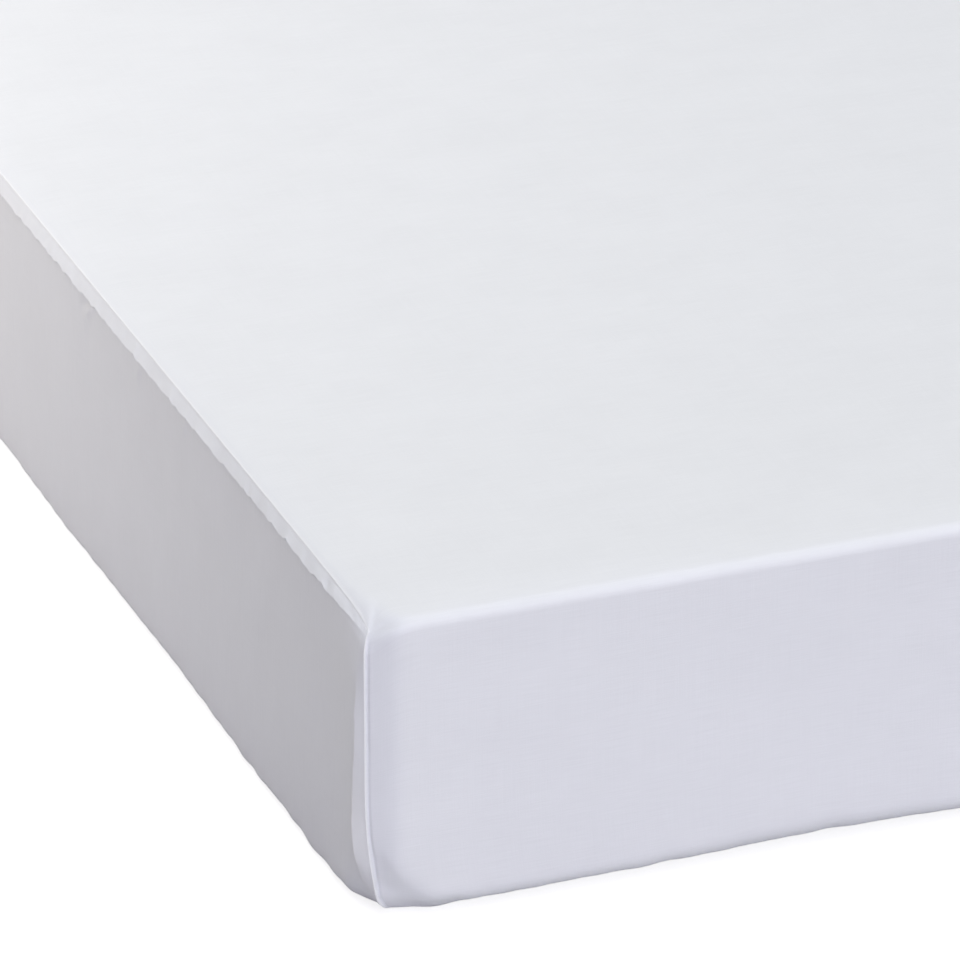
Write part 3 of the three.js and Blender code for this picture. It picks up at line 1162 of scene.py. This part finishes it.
@dataclass(kw_only=True)
class MainPanel(Panel):
    """The long panel: up the foot end, over the sleeping surface and down the head end."""

    across: Stages = ((4 * MM, 1.2, 0.9 * MM), (52 * MM, 1.2, 2.8 * MM), (1.0, 1.2, 9.4 * MM))
    lengthwise: Stages = ((40 * MM, 1.2, 3 * MM), (1.0, 1.2, 10.5 * MM))

    end_seed: float = 3.0
    end_lumps: tuple[Lumps, ...] = (
        Lumps(1.0 * MM, along=150 * MM, up=90 * MM),
        Lumps(0.25 * MM, along=42 * MM, up=30 * MM, seed=0.5),
    )
    end_puckers: Lumps = Lumps(0.9 * MM, along=11 * MM, up=40 * MM, seed=0.7)
    end_pucker_place: Rib = Rib(1.0, place=4 * MM, width=8 * MM)
    end_floor_fade: Span = (0, 12 * MM)
    end_seam_fade: Span = (0, 2.5 * MM)
    end_top_fade: Span = (2 * MM, 22 * MM)
    foot_gather: FootGather = FootGather()

    corner_lip: Rib = Rib(0.6 * MM, place=0.15 * MM, width=0.45 * MM)
    corner_furrow: Rib = Rib(-1.5 * MM, place=2.1 * MM, width=0.8 * MM)
    corner_lip_top: Span = (14 * MM, 26 * MM)
    corner_lip_floor: Span = (0, 14 * MM)
    long_lip: Rib = Rib(0.5 * MM, place=0.7 * MM, width=0.9 * MM)
    long_lip_end: Span = (2 * MM, 20 * MM)
    # Width of the painted highlight line along each seam's lip.
    painted_highlight_width: float = 0.45 * MM

    surface_lumps: tuple[Lumps, ...] = (
        Lumps(0.7 * MM, along=260 * MM, up=190 * MM, seed=7.1),
        Lumps(0.12 * MM, along=50 * MM, up=35 * MM, seed=7.6),
    )
    surface_fade: Span = (0, 30 * MM)
    crown: float = 3.0 * MM
    crown_width: float = 11 * MM
    corner_crown_width: float = 22 * MM
    corner_crown_reach: float = 330 * MM

    END_CREASES = {
        Face.FOOT: (
            Crease((-84, 182), (-60, 236), 9, 0.45),
            Crease((-66, 150), (-36, 236), 20, -0.5),
            Crease((-442, 222), (-425, 214), 7, -0.7),
            Crease((-455, 174), (-428, 169), 3, 0.3),
        ),
        Face.HEAD: (
            Crease((120, 160), (150, 236), 12, 0.5),
            Crease((-300, 60), (-260, 190), 26, -0.5),
            Crease((-440, 215), (-425, 222), 8, -0.6),
        ),
    }
    TUCKS = {
        Face.FOOT: (Tuck((-401, 61), 41, slope=0.25), Tuck((404, 57), 43, slope=0.25)),
        Face.HEAD: (Tuck((-403, 55), 40, slope=0.25), Tuck((399, 60), 42, slope=0.25)),
    }
    TOP_CREASES = (
        Crease((40, 75), (0, -35), 7, -0.35),
        Crease((-10, -70), (20, -125), 8, -0.3),
        Crease((-160, -104), (-100, -126), 6, -0.25),
        Crease((-222, -255), (-168, -274), 4, 0.25),
        Crease((262, -90), (282, -155), 9, -0.35),
        Crease((222, -335), (198, -410), 6, -0.3),
        Crease((40, -565), (130, -590), 7, 0.2),
        Crease((-350, 150), (-310, 122), 7, -0.25),
        Crease((150, 420), (240, 300), 10, -0.3),
        Crease((-260, 610), (-120, 560), 9, 0.25),
        Crease((300, 780), (330, 640), 8, -0.3),
    )

    def end_rows(self, face: Face) -> list[Array]:
        """The rows of points on an end, from the hem up to the last below the seam's level.

        Args:
            face: The foot or the head end.

        Returns:
            Places, reliefs, flat places and how much the cloth is whitened, a painted highlight
            along the corner seam, with the columns as seen from outside.
        """
        grid = self.cover.wall(face, self.across, END_LEVELS[:-1], self.trim)
        rise = self.end_relief(face, grid) * grid.on_wall
        # Painted highlight: a thin whiter line along the corner seam's lip.
        layers = bell(grid.from_seam - self.corner_lip.place, self.painted_highlight_width)
        return [grid.place, rise, np.stack([grid.along, grid.flat_up], axis=-1), layers]

    def end_relief(self, face: Face, grid: WallGrid) -> Array:
        """How far the cloth stands off the form on an end.

        Args:
            face: The foot or the head end.
            grid: Its points.

        Returns:
            The rise at each.
        """
        along, up, from_seam = grid.along, grid.place[..., 2], grid.from_seam
        below_top, seed = self.cover.top - up, self.end_seed + face.value
        rise = lumpy(self.end_lumps, along, up, seed)
        for fold in (*self.END_CREASES[face], *self.TUCKS[face]):
            rise = rise + fold.relief(along, up)
        puckers = self.end_puckers.relief(up, along, seed)
        rise = rise + puckers * self.end_pucker_place.relief(from_seam)
        rise = rise * smooth(up, *self.end_floor_fade) * smooth(from_seam, *self.end_seam_fade)
        rise = rise * smooth(below_top, *self.end_top_fade)
        lip = self.corner_lip.relief(from_seam) + self.corner_furrow.relief(from_seam)
        lip = lip * smooth(below_top, *self.corner_lip_top) * smooth(up, *self.corner_lip_floor)
        return rise + lip + self.foot_gather.relief(along, up, from_seam, seed)

    def surface_rows(self) -> list[Array]:
        """The rows of points on the sleeping surface, from the foot end's seam level to the head's.

        Returns:
            Places, reliefs, flat places and how much the cloth is whitened, a painted highlight
            line along each long seam.
        """
        foot_line = self.cover.wall(Face.FOOT, self.across, [SEAM_LEVEL], self.trim)
        start, foot = foot_line.flat_up[0, 0], foot_line.place[0]
        head = quarter_turned(foot, 2)[::-1]
        right = self.cover.wall(Face.RIGHT, self.lengthwise, [SEAM_LEVEL]).place[0]
        right[0], right[-1] = foot[-1], head[-1]
        left = quarter_turned(right, 2)[::-1]
        u, v = distance_along(foot), distance_along(right)
        u, v = (u / u[-1])[None, :, None], (v / v[-1])[:, None, None]
        place = (1 - v) * foot[None] + v * head[None] + (1 - u) * left[:, None] + u * right[:, None]
        place = place - (1 - u) * (1 - v) * foot[0] - u * (1 - v) * foot[-1]
        place = place - (1 - u) * v * head[0] - u * v * head[-1]
        x, y = place[..., 0], place[..., 1]
        from_side = np.abs(x[:, :1]) - np.abs(x)
        from_end = np.abs(y[:1]) - np.abs(y)
        height = self.cover.surface_height(x, y, from_side, from_end)
        place[1:-1, 1:-1, 2] = height[1:-1, 1:-1]
        rise = self.surface_relief(x, y, from_side, from_end)
        flat = np.stack([x, start + y - foot[len(foot) // 2, 1]], axis=-1)
        # The last array is a painted highlight: a thin whiter line along each long seam's lip.
        return [place, rise, flat, bell(from_side - self.long_lip.place, self.painted_highlight_width)]

    def surface_relief(self, x: Array, y: Array, from_side: Array, from_end: Array) -> Array:
        """How far the sleeping surface rises: its crown, creases and the lips at the long seams.

        Args:
            x: Places across.
            y: Places along the length.
            from_side: Their distances from the long seam's line.
            from_end: Their distances from the end's seam level.

        Returns:
            The rise at each place.
        """
        near_corner = 1 - smooth(from_end, 0, self.corner_crown_reach)
        width = mix(self.crown_width, self.corner_crown_width, near_corner)
        crown = self.crown * (1 - np.exp(-from_side / width))
        crown = crown * (1 - np.exp(-from_end / self.corner_crown_width))
        rise = lumpy(self.surface_lumps, x, y, 0.0)
        for crease in self.TOP_CREASES:
            rise = rise + crease.relief(x, y)
        rise = rise * smooth(from_side, *self.surface_fade) * smooth(from_end, *self.surface_fade)
        lip = self.long_lip.relief(from_side) * smooth(from_end, *self.long_lip_end)
        return crown + rise + lip

    def build(self) -> bpy.types.Object:
        """Builds the panel, from the foot end's hem to the head end's.

        Returns:
            The piece.
        """
        foot, surface = self.end_rows(Face.FOOT), self.surface_rows()
        head = [rows[::-1, ::-1] for rows in self.end_rows(Face.HEAD)]
        total = 2 * foot[2][-1, 0, 1] + np.ptp(surface[2][:, 0, 1])
        head[2] = head[2] * (-1, -1) + (0, total)
        place, rise, flat, layers = (np.concatenate(rows) for rows in zip(foot, surface, head))
        place = place + surface_normals(place) * rise[..., None]
        return self.sheet("main_cloth", place, flat, layers)


@dataclass(kw_only=True)
class SidePanel(Panel):
    """A long side panel, from its hem up to the long seam."""

    face: Face
    along: Stages = ((14 * MM, 1.2, 1.0 * MM), (0.8, 1.15, 3.4 * MM), (2.0, 1.1, 8 * MM))

    seed: float = 11.0
    lumps: tuple[Lumps, ...] = (
        Lumps(1.1 * MM, along=170 * MM, up=110 * MM),
        Lumps(0.3 * MM, along=46 * MM, up=60 * MM, seed=0.5),
    )
    puckers: Lumps = Lumps(0.9 * MM, along=9 * MM, up=24 * MM, seed=2)
    pucker_reach: float = 18 * MM
    pucker_onset: Span = (0, 40 * MM)
    edge_fade: Span = (2 * MM, 16 * MM)
    tuck_fade: Span = (0, 3 * MM)
    floor_fade: Span = (0, 12 * MM)
    foot_gather: FootGather = FootGather()

    corner_roll: float = 4.0 * MM
    roll_onset: float = 5 * MM
    roll_reach: float = 45 * MM
    roll_below: float = 0.5
    roll_grows: Span = (90 * MM, 130 * MM)
    roll_floor_fade: Span = (5 * MM, 40 * MM)
    roll_top_fade: Span = (5 * MM, 45 * MM)

    band_seed: float = 13.0
    # The corner band is whitened fully, mostly a painted highlight in place of the front light on
    # it; the long band only a little.
    long_allowance: Allowance = Allowance(11.5 * MM, rise=1.8 * MM, step=1.8 * MM, layers_and_highlight_lightness=0.2)
    corner_allowance: Allowance = Allowance(9 * MM, rise=5.0 * MM, step=2.6 * MM, layers_and_highlight_lightness=1.0)
    long_band_onset: float = 38 * MM
    corner_band: Presence = Presence((4 * MM, 30 * MM), wanes=(100 * MM, 150 * MM), left=0.3)
    corner_lift: Presence = Presence((18 * MM, 64 * MM), wanes=(70 * MM, 140 * MM), left=0.5)
    # Width of the painted highlight line along each seam.
    painted_highlight_width: float = 0.5 * MM

    CREASES = {
        Face.LEFT: (
            Crease((353, 160), (356, 232), 10, -0.6),
            Crease((340, 150), (335, 236), 24, 0.7),
            Crease((372, 241), (342, 215), 3, 2.0),
            Crease((358, 240), (336, 226), 3, -1.2),
            Crease((492, 242), (476, 220), 3, 1.6),
            Crease((604, 240), (590, 226), 4, 1.2),
            Crease((700, 90), (820, 150), 30, -0.5),
            Crease((880, 40), (940, 120), 26, 0.5),
        ),
        Face.RIGHT: (
            Crease((-420, 150), (-410, 230), 12, -0.6),
            Crease((120, 60), (240, 150), 32, 0.5),
            Crease((640, 120), (700, 225), 20, -0.5),
            Crease((-880, 60), (-930, 150), 26, 0.5),
        ),
    }

    TUCKS = (Tuck((962, 61), 41, slope=0.2), Tuck((-960, 58), 43, slope=0.2))

    def relief(self, grid: WallGrid) -> Array:
        """How far the cloth stands off the form.

        Args:
            grid: The panel's points.

        Returns:
            The rise at each.
        """
        along, up, from_corner = grid.along, grid.place[..., 2], grid.from_seam
        from_top, seed = distance_down(grid.place), self.seed + self.face.value
        rise = lumpy(self.lumps, along, up, seed)
        for crease in self.CREASES[self.face]:
            rise = rise + crease.relief(along, up)
        puckers = self.puckers.relief(along, from_top, seed)
        puckers = puckers * bell(from_top, self.pucker_reach)
        puckers = puckers * smooth(from_corner, *self.pucker_onset)
        away = np.minimum(from_corner, from_top)
        rise = (rise + puckers) * smooth(away, *self.edge_fade)
        tucked = sum(tuck.relief(along, up) for tuck in self.TUCKS)
        rise = rise + tucked * smooth(from_corner, *self.tuck_fade)
        roll = self.corner_roll * (1 - np.exp(-from_corner / self.roll_onset))
        roll = roll * bell(from_corner, self.roll_reach) * smooth(up, *self.roll_floor_fade)
        roll = roll * mix(self.roll_below, 1, smooth(up, *self.roll_grows))
        rise = (rise + roll * smooth(from_top, *self.roll_top_fade)) * smooth(up, *self.floor_fade)
        return rise + self.foot_gather.relief(along, up, from_corner, seed)

    def lay_bands(self, place: Array, along: Array, up: Array) -> Array:
        """Lays the cloth over the allowances of its three seams.

        Args:
            place: The panel's grid. It is changed.
            along: Its points' places along the wall.
            up: Their heights.

        Returns:
            How much the cloth is whitened at each point: for the bands' layers, partly as painted
            highlight, and as a painted highlight line along each seam.
        """
        seed = self.band_seed + self.face.value
        run_end = self.cover.run(self.face).half_along - np.abs(along[-1])
        long_share = 1 - np.exp(-run_end / self.long_band_onset)
        corners = up[:, [0, -1]].T
        shares = (long_share, *self.corner_band.at(corners))
        lifts = (long_share, *self.corner_lift.at(corners))
        allowances = (self.long_allowance, self.corner_allowance, self.corner_allowance)
        ways = (along[-1], *corners)
        for lines, allowance, share, way in zip(seam_views(place), allowances, shares, ways):
            allowance.slide(lines, allowance.edge(way, share, seed))
        layers, facing = np.zeros_like(up), surface_normals(place)
        views = zip(*map(seam_views, (place, facing, layers)), allowances, shares, lifts)
        for lines, outward, layer, allowance, share, lift in views:
            layer[:] = np.maximum(layer, allowance.lay(lines, outward, share, lift, seed + 2))
            # Painted highlight: a thin whiter line right along each seam.
            layer[:] = np.maximum(layer, bell(distance_down(lines), self.painted_highlight_width))
        return layers

    def build(self) -> bpy.types.Object:
        """Builds the panel, from the hem up.

        Returns:
            The piece.
        """
        grid = self.cover.wall(self.face, self.along, SIDE_LEVELS, self.trim)
        rise = self.relief(grid) * grid.on_wall
        place = grid.place + surface_normals(grid.place) * rise[..., None]
        layers = self.lay_bands(place, grid.along, grid.place[..., 2] * grid.on_wall)
        flat = np.stack([grid.flat_up, grid.along], axis=-1)
        return self.sheet(f"{self.face.name.lower()}_side_cloth", place, flat, layers)


@dataclass
class Stitching:
    """The thread that shows in the seams as short stitches from panel to panel."""

    cover: Form
    along: Stages = ((60 * MM, 1.2, 2 * MM), (2.0, 1.2, 12 * MM))
    pitch: float = 3.2 * MM
    length: float = 1.5 * MM
    thickness: float = 0.4 * MM
    slant: float = math.radians(14)
    depth: float = 0.1 * MM
    sides: int = 6
    rings: int = 4
    seed: int = 5
    pitch_spread: float = 0.08
    slant_spread: float = 0.5

    def seam_lines(self) -> list[tuple[Array, Array]]:
        """Finds the seams.

        Returns:
            Each as a line of places and of the ways the cloth faces there.
        """
        levels = [level for level in SIDE_LEVELS if level.stretch is not Stretch.HEM]
        lines = []
        for face in (Face.RIGHT, Face.LEFT):
            place = self.cover.wall(face, self.along, levels).place
            normals = surface_normals(place)
            lines.append((place[-1], normals[-1]))
            lines += [(place[:, corner], normals[:, corner]) for corner in (0, -1)]
        return lines

    def bead(self) -> tuple[Array, list[list[int]]]:
        """One stitch as a small bead, a metre wide.

        Returns:
            Its points, and its faces in an order that is the same each run.
        """
        form = bmesh.new()
        bmesh.ops.create_uvsphere(form, u_segments=self.sides, v_segments=self.rings, radius=0.5)
        points = np.array([vertex.co for vertex in form.verts])
        form.verts.index_update()
        faces = []
        for face in form.faces:
            corners = [vertex.index for vertex in face.verts]
            first = corners.index(min(corners))
            faces.append(corners[first:] + corners[:first])
        form.free()
        return points, sorted(faces)

    def frames(self) -> Array:
        """Places the stitches along the seams.

        Returns:
            A frame for each: its long, cross and outward half axes and its centre.
        """
        turns = np.random.default_rng(self.seed)
        frames = []
        for place, facing in self.seam_lines():
            reached = distance_along(place)
            at = np.arange(self.pitch / 2, reached[-1] - self.pitch / 2, self.pitch)
            at = at + self.pitch_spread * self.pitch * turns.standard_normal(at.shape)
            centre = line_points(at, reached, place)
            ahead = unit(line_points(at + MM, reached, place) - centre)
            outward = unit(line_points(at, reached, facing))
            across = np.cross(outward, ahead)
            slant = self.slant * (1 + self.slant_spread * turns.standard_normal((len(at), 1)))
            long_axis = np.cos(slant) * across + np.sin(slant) * ahead
            cross_axis = np.cross(outward, long_axis)
            centre = centre - self.depth * outward
            axes = (self.length * long_axis, self.thickness * cross_axis, self.thickness * outward)
            frames.append(np.stack([*axes, centre], axis=1))
        return np.concatenate(frames)

    def build(self) -> bpy.types.Object:
        """Builds all the stitches as one piece.

        Returns:
            The piece.
        """
        points, faces = self.bead()
        frames = self.frames()
        placed = np.einsum("pk,skc->spc", points, frames[:, :3]) + frames[:, 3][:, None]
        starts = np.arange(len(frames)) * len(points)
        joined = [[int(start) + index for index in face] for start in starts for face in faces]
        mesh = bpy.data.meshes.new("seam_stitches")
        mesh.from_pydata(placed.reshape(-1, 3).tolist(), [], joined)
        mesh.shade_smooth()
        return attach(linked("seam_stitches", mesh), "root")


@dataclass
class Mattress:
    """The plain mattress in the cover: a soft block with ticking over it."""

    form: Form
    around: Stages = ((2.0, 1.3, 14 * MM),)
    levels: int = 14
    rim: float = 60 * MM
    weld: float = 0.01 * MM
    flattest_wall: float = 0.7

    def rings(self) -> Array:
        """The rings of points round the mattress, from its foot up.

        Returns:
            The points, a row for each ring.
        """
        wall = np.linspace(0, 1, self.levels)
        levels = section_levels(hem=1, foot=8, wall=wall, top=6)[1:]
        sides = [self.form.wall(face, self.around, levels).place[:, :-1] for face in Face]
        return np.concatenate(sides, axis=1)

    def build(self) -> bpy.types.Object:
        """Builds the mattress, closed at its top and underside.

        Returns:
            The piece.
        """
        rings = self.rings()
        form = grid_mesh(np.concatenate([rings, rings[:, :1]], axis=1))
        bmesh.ops.remove_doubles(form, verts=form.verts[:], dist=self.weld)
        open_edges = [edge for edge in form.edges if edge.is_boundary]
        caps = bmesh.ops.holes_fill(form, edges=open_edges, sides=0)["faces"]
        bmesh.ops.inset_region(form, faces=caps, thickness=self.rim, use_even_offset=True)
        flat_map = form.loops.layers.uv.new(FLAT_MAP)
        form.verts.layers.float.new(SEAM_LAYERS_AND_HIGHLIGHT)
        for face in form.faces:
            face.smooth = True
            face.normal_update()
            upright = abs(face.normal.z) < self.flattest_wall
            for loop in face.loops:
                x, y, z = loop.vert.co
                loop[flat_map].uv = (x + y, z) if upright else (x, y)
        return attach(meshed("mattress_body", form), "root")


def lamp(name: str, kind: str, power: float, colour: Colour, towards: Vector) -> bpy.types.Object:
    """Links a lamp.

    Args:
        name: Its name.
        kind: Blender's name for its kind.
        power: Its power or strength.
        colour: Its colour.
        towards: The way from what it lights to it.

    Returns:
        The lamp.
    """
    data = bpy.data.lights.new(name, kind)
    data.energy = power
    data.color = colour
    made = linked(name, data)
    made.rotation_euler = towards.to_track_quat("Z", "Y").to_euler()
    return made


@dataclass(frozen=True)
class Sun:
    """A soft light from a direction, spread over so many degrees of the sky."""

    name: str
    towards: tuple[float, float, float]
    strength: float
    spread: float
    colour: Colour

    def light(self) -> None:
        """Lights it."""
        made = lamp(self.name, "SUN", self.strength, self.colour, Vector(self.towards))
        made.data.angle = math.radians(self.spread)


@dataclass(frozen=True)
class Softbox:
    """A square soft light at a place, aimed at another."""

    name: str
    place: tuple[float, float, float]
    aim: tuple[float, float, float]
    size: float
    power: float
    colour: Colour

    def light(self) -> None:
        """Lights it."""
        place = Vector(self.place)
        made = lamp(self.name, "AREA", self.power, self.colour, place - Vector(self.aim))
        made.data.size = self.size
        made.location = place


@dataclass
class Studio:
    """The pale floor, the soft lights and the camera."""

    cover: Form
    azimuth: float = math.radians(21.0)
    elevation: float = math.radians(25.87)
    lens: float = 310.65
    sensor: float = 36.0
    clip: Span = (0.05, 200.0)
    distance: float = 6.086
    corner_aside: float = 0.08105
    corner_below: float = 0.10935
    floor_size: float = 60.0
    floor_albedo: float = 0.55
    floor_glow: float = 0.75
    world_light: float = 0.05
    backdrop: float = 1.0

    LIGHTS = (
        Sun("overhead", (0.05, 0.05, 1), strength=1.54, spread=50, colour=(0.907, 0.981, 1.0)),
        Sun("front", (0.05, -0.95, 0.3), strength=1.4, spread=50, colour=(0.889, 0.917, 1.0)),
        Sun("front_left", (-0.6, -0.8, 0.2), strength=0.65, spread=100, colour=(0.825, 0.697, 1)),
        Sun("right", (1, 0, 0.4), strength=1.09, spread=120, colour=(1.0, 0.892, 0.708)),
        Softbox(
            name="window",
            place=(-1.35, 0.485, 0.76),
            aim=(-0.45, 0.0, 0.2),
            size=1.5,
            power=9.4,
            colour=(1.0, 0.943, 0.85),
        ),
    )

    def view_axes(self) -> tuple[Vector, Vector, Vector]:
        """The view's axes.

        Returns:
            Its right, up and forward directions.
        """
        turn, tilt = self.azimuth, self.elevation
        level = Vector((math.sin(turn), math.cos(turn), 0))
        right = Vector((math.cos(turn), -math.sin(turn), 0))
        upward = Vector((0, 0, 1))
        forward = level * math.cos(tilt) - upward * math.sin(tilt)
        return right, level * math.sin(tilt) + upward * math.cos(tilt), forward

    def camera(self) -> None:
        """The camera, on the near corner: low and left of the middle of its view."""
        right, up, forward = self.view_axes()
        corner = Vector((-self.cover.half_width, -self.cover.half_length, self.cover.top))
        place = corner + self.corner_aside * right + self.corner_below * up
        place = place - self.distance * forward
        data = bpy.data.cameras.new("camera")
        data.lens = self.lens
        data.sensor_width = self.sensor
        data.clip_start, data.clip_end = self.clip
        camera = linked("camera", data)
        turn = Matrix((right, up, -forward)).transposed().to_4x4()
        camera.matrix_world = Matrix.Translation(place) @ turn
        bpy.context.scene.camera = camera

    def world(self) -> None:
        """Even light from all round, with a paler backdrop for the camera."""
        world = bpy.data.worlds.new("studio")
        bpy.context.scene.world = world
        world.use_nodes = True
        world.node_tree.nodes.clear()
        nodes = Nodes(world.node_tree)
        seen = nodes.add("ShaderNodeLightPath").outputs["Is Camera Ray"]
        even, pale = (
            nodes.add("ShaderNodeBackground", {0: (1, 1, 1, 1), 1: strength}).outputs[0]
            for strength in (self.world_light, self.backdrop)
        )
        blend = nodes.add("ShaderNodeMixShader", {0: seen, 1: even, 2: pale}).outputs[0]
        nodes.add("ShaderNodeOutputWorld", {0: blend})

    def floor(self) -> None:
        """A plain pale floor, which the camera sees a little brighter than it lights the cloth."""
        form = bmesh.new()
        bmesh.ops.create_grid(form, x_segments=1, y_segments=1, size=self.floor_size / 2)
        floor = meshed("floor", form)
        made, nodes, _ = new_material("floor")
        made.node_tree.nodes.clear()
        seen = nodes.add("ShaderNodeLightPath").outputs["Is Camera Ray"]
        albedo = (*(self.floor_albedo,) * 3, 1)
        matt = nodes.add("ShaderNodeBsdfDiffuse", {0: albedo}).outputs[0]
        shine = nodes.math("MULTIPLY", seen, self.floor_glow)
        pale = nodes.add("ShaderNodeEmission", {0: (1, 1, 1, 1), 1: shine}).outputs[0]
        both = nodes.add("ShaderNodeAddShader", {0: matt, 1: pale}).outputs[0]
        nodes.add("ShaderNodeOutputMaterial", {0: both})
        floor.data.materials.append(made)

    def build(self) -> None:
        """Builds the whole studio."""
        self.camera()
        self.world()
        self.floor()
        for light in self.LIGHTS:
            light.light()
        bpy.context.scene.view_settings.view_transform = "Standard"


def trade_size() -> Vector:
    """The mattress's own size: its box without its walls' swell, as trade sizes are whole
    centimetres."""
    low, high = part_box("mattress")
    return Vector([round(side, 2) for side in high - low])


MATTRESS_EXTRA_ROUNDING = 4 * MM

# An edge shift that takes a form's levels right up to its top.
WHOLE_EDGE = -1.0


def main() -> None:
    """Builds the protector, its mattress and the studio, and reports each piece."""
    logging.basicConfig(level=logging.INFO, format="%(message)s")
    size = trade_size()
    cover = Form(
        half_width=size.x / 2 + EDGE_CLEARANCE + CLOTH,
        half_length=size.y / 2 + EDGE_CLEARANCE + CLOTH,
        top=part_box("main_panel")[1].z,
    )
    main_panel = MainPanel(cover=replace(cover, edge_shift=-SEAM_TRIM))
    main_cloth = main_panel.build()
    side_form = replace(cover, edge_shift=SEAM_TRIM)
    sides = [SidePanel(cover=side_form, face=face) for face in (Face.RIGHT, Face.LEFT)]
    side_cloths = [side.build() for side in sides]
    stitches = Stitching(cover).build()
    mattress_form = Form(
        half_width=size.x / 2,
        half_length=size.y / 2,
        top=cover.top - CLOTH - 2 * TOUCH_GAP,
        bottom=CLOTH + TOUCH_GAP,
        extra_rounding=MATTRESS_EXTRA_ROUNDING,
        edge_shift=WHOLE_EDGE,
    )
    mattress = Mattress(mattress_form).build()

    cloth_finish = PROTECTOR_CLOTH.material()
    for piece in (main_cloth, *side_cloths):
        piece.data.materials.append(cloth_finish)
    stitches.data.materials.append(ThreadFinish().material())
    mattress.data.materials.append(MATTRESS_TICKING.material())

    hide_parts("main_panel")
    for side, piece in zip(sides, side_cloths):
        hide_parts(f"{side.face.name.lower()}_side_panel")
        LOG.info("%s: flat %.3f by %.3f m", piece.name, *side.flat_size)
    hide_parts("mattress")
    for piece in (main_cloth, *side_cloths, stitches, mattress):
        LOG.info("%s: %d triangles", piece.name, triangle_count(piece))

    Studio(cover).build()


if __name__ == "__main__":
    main()
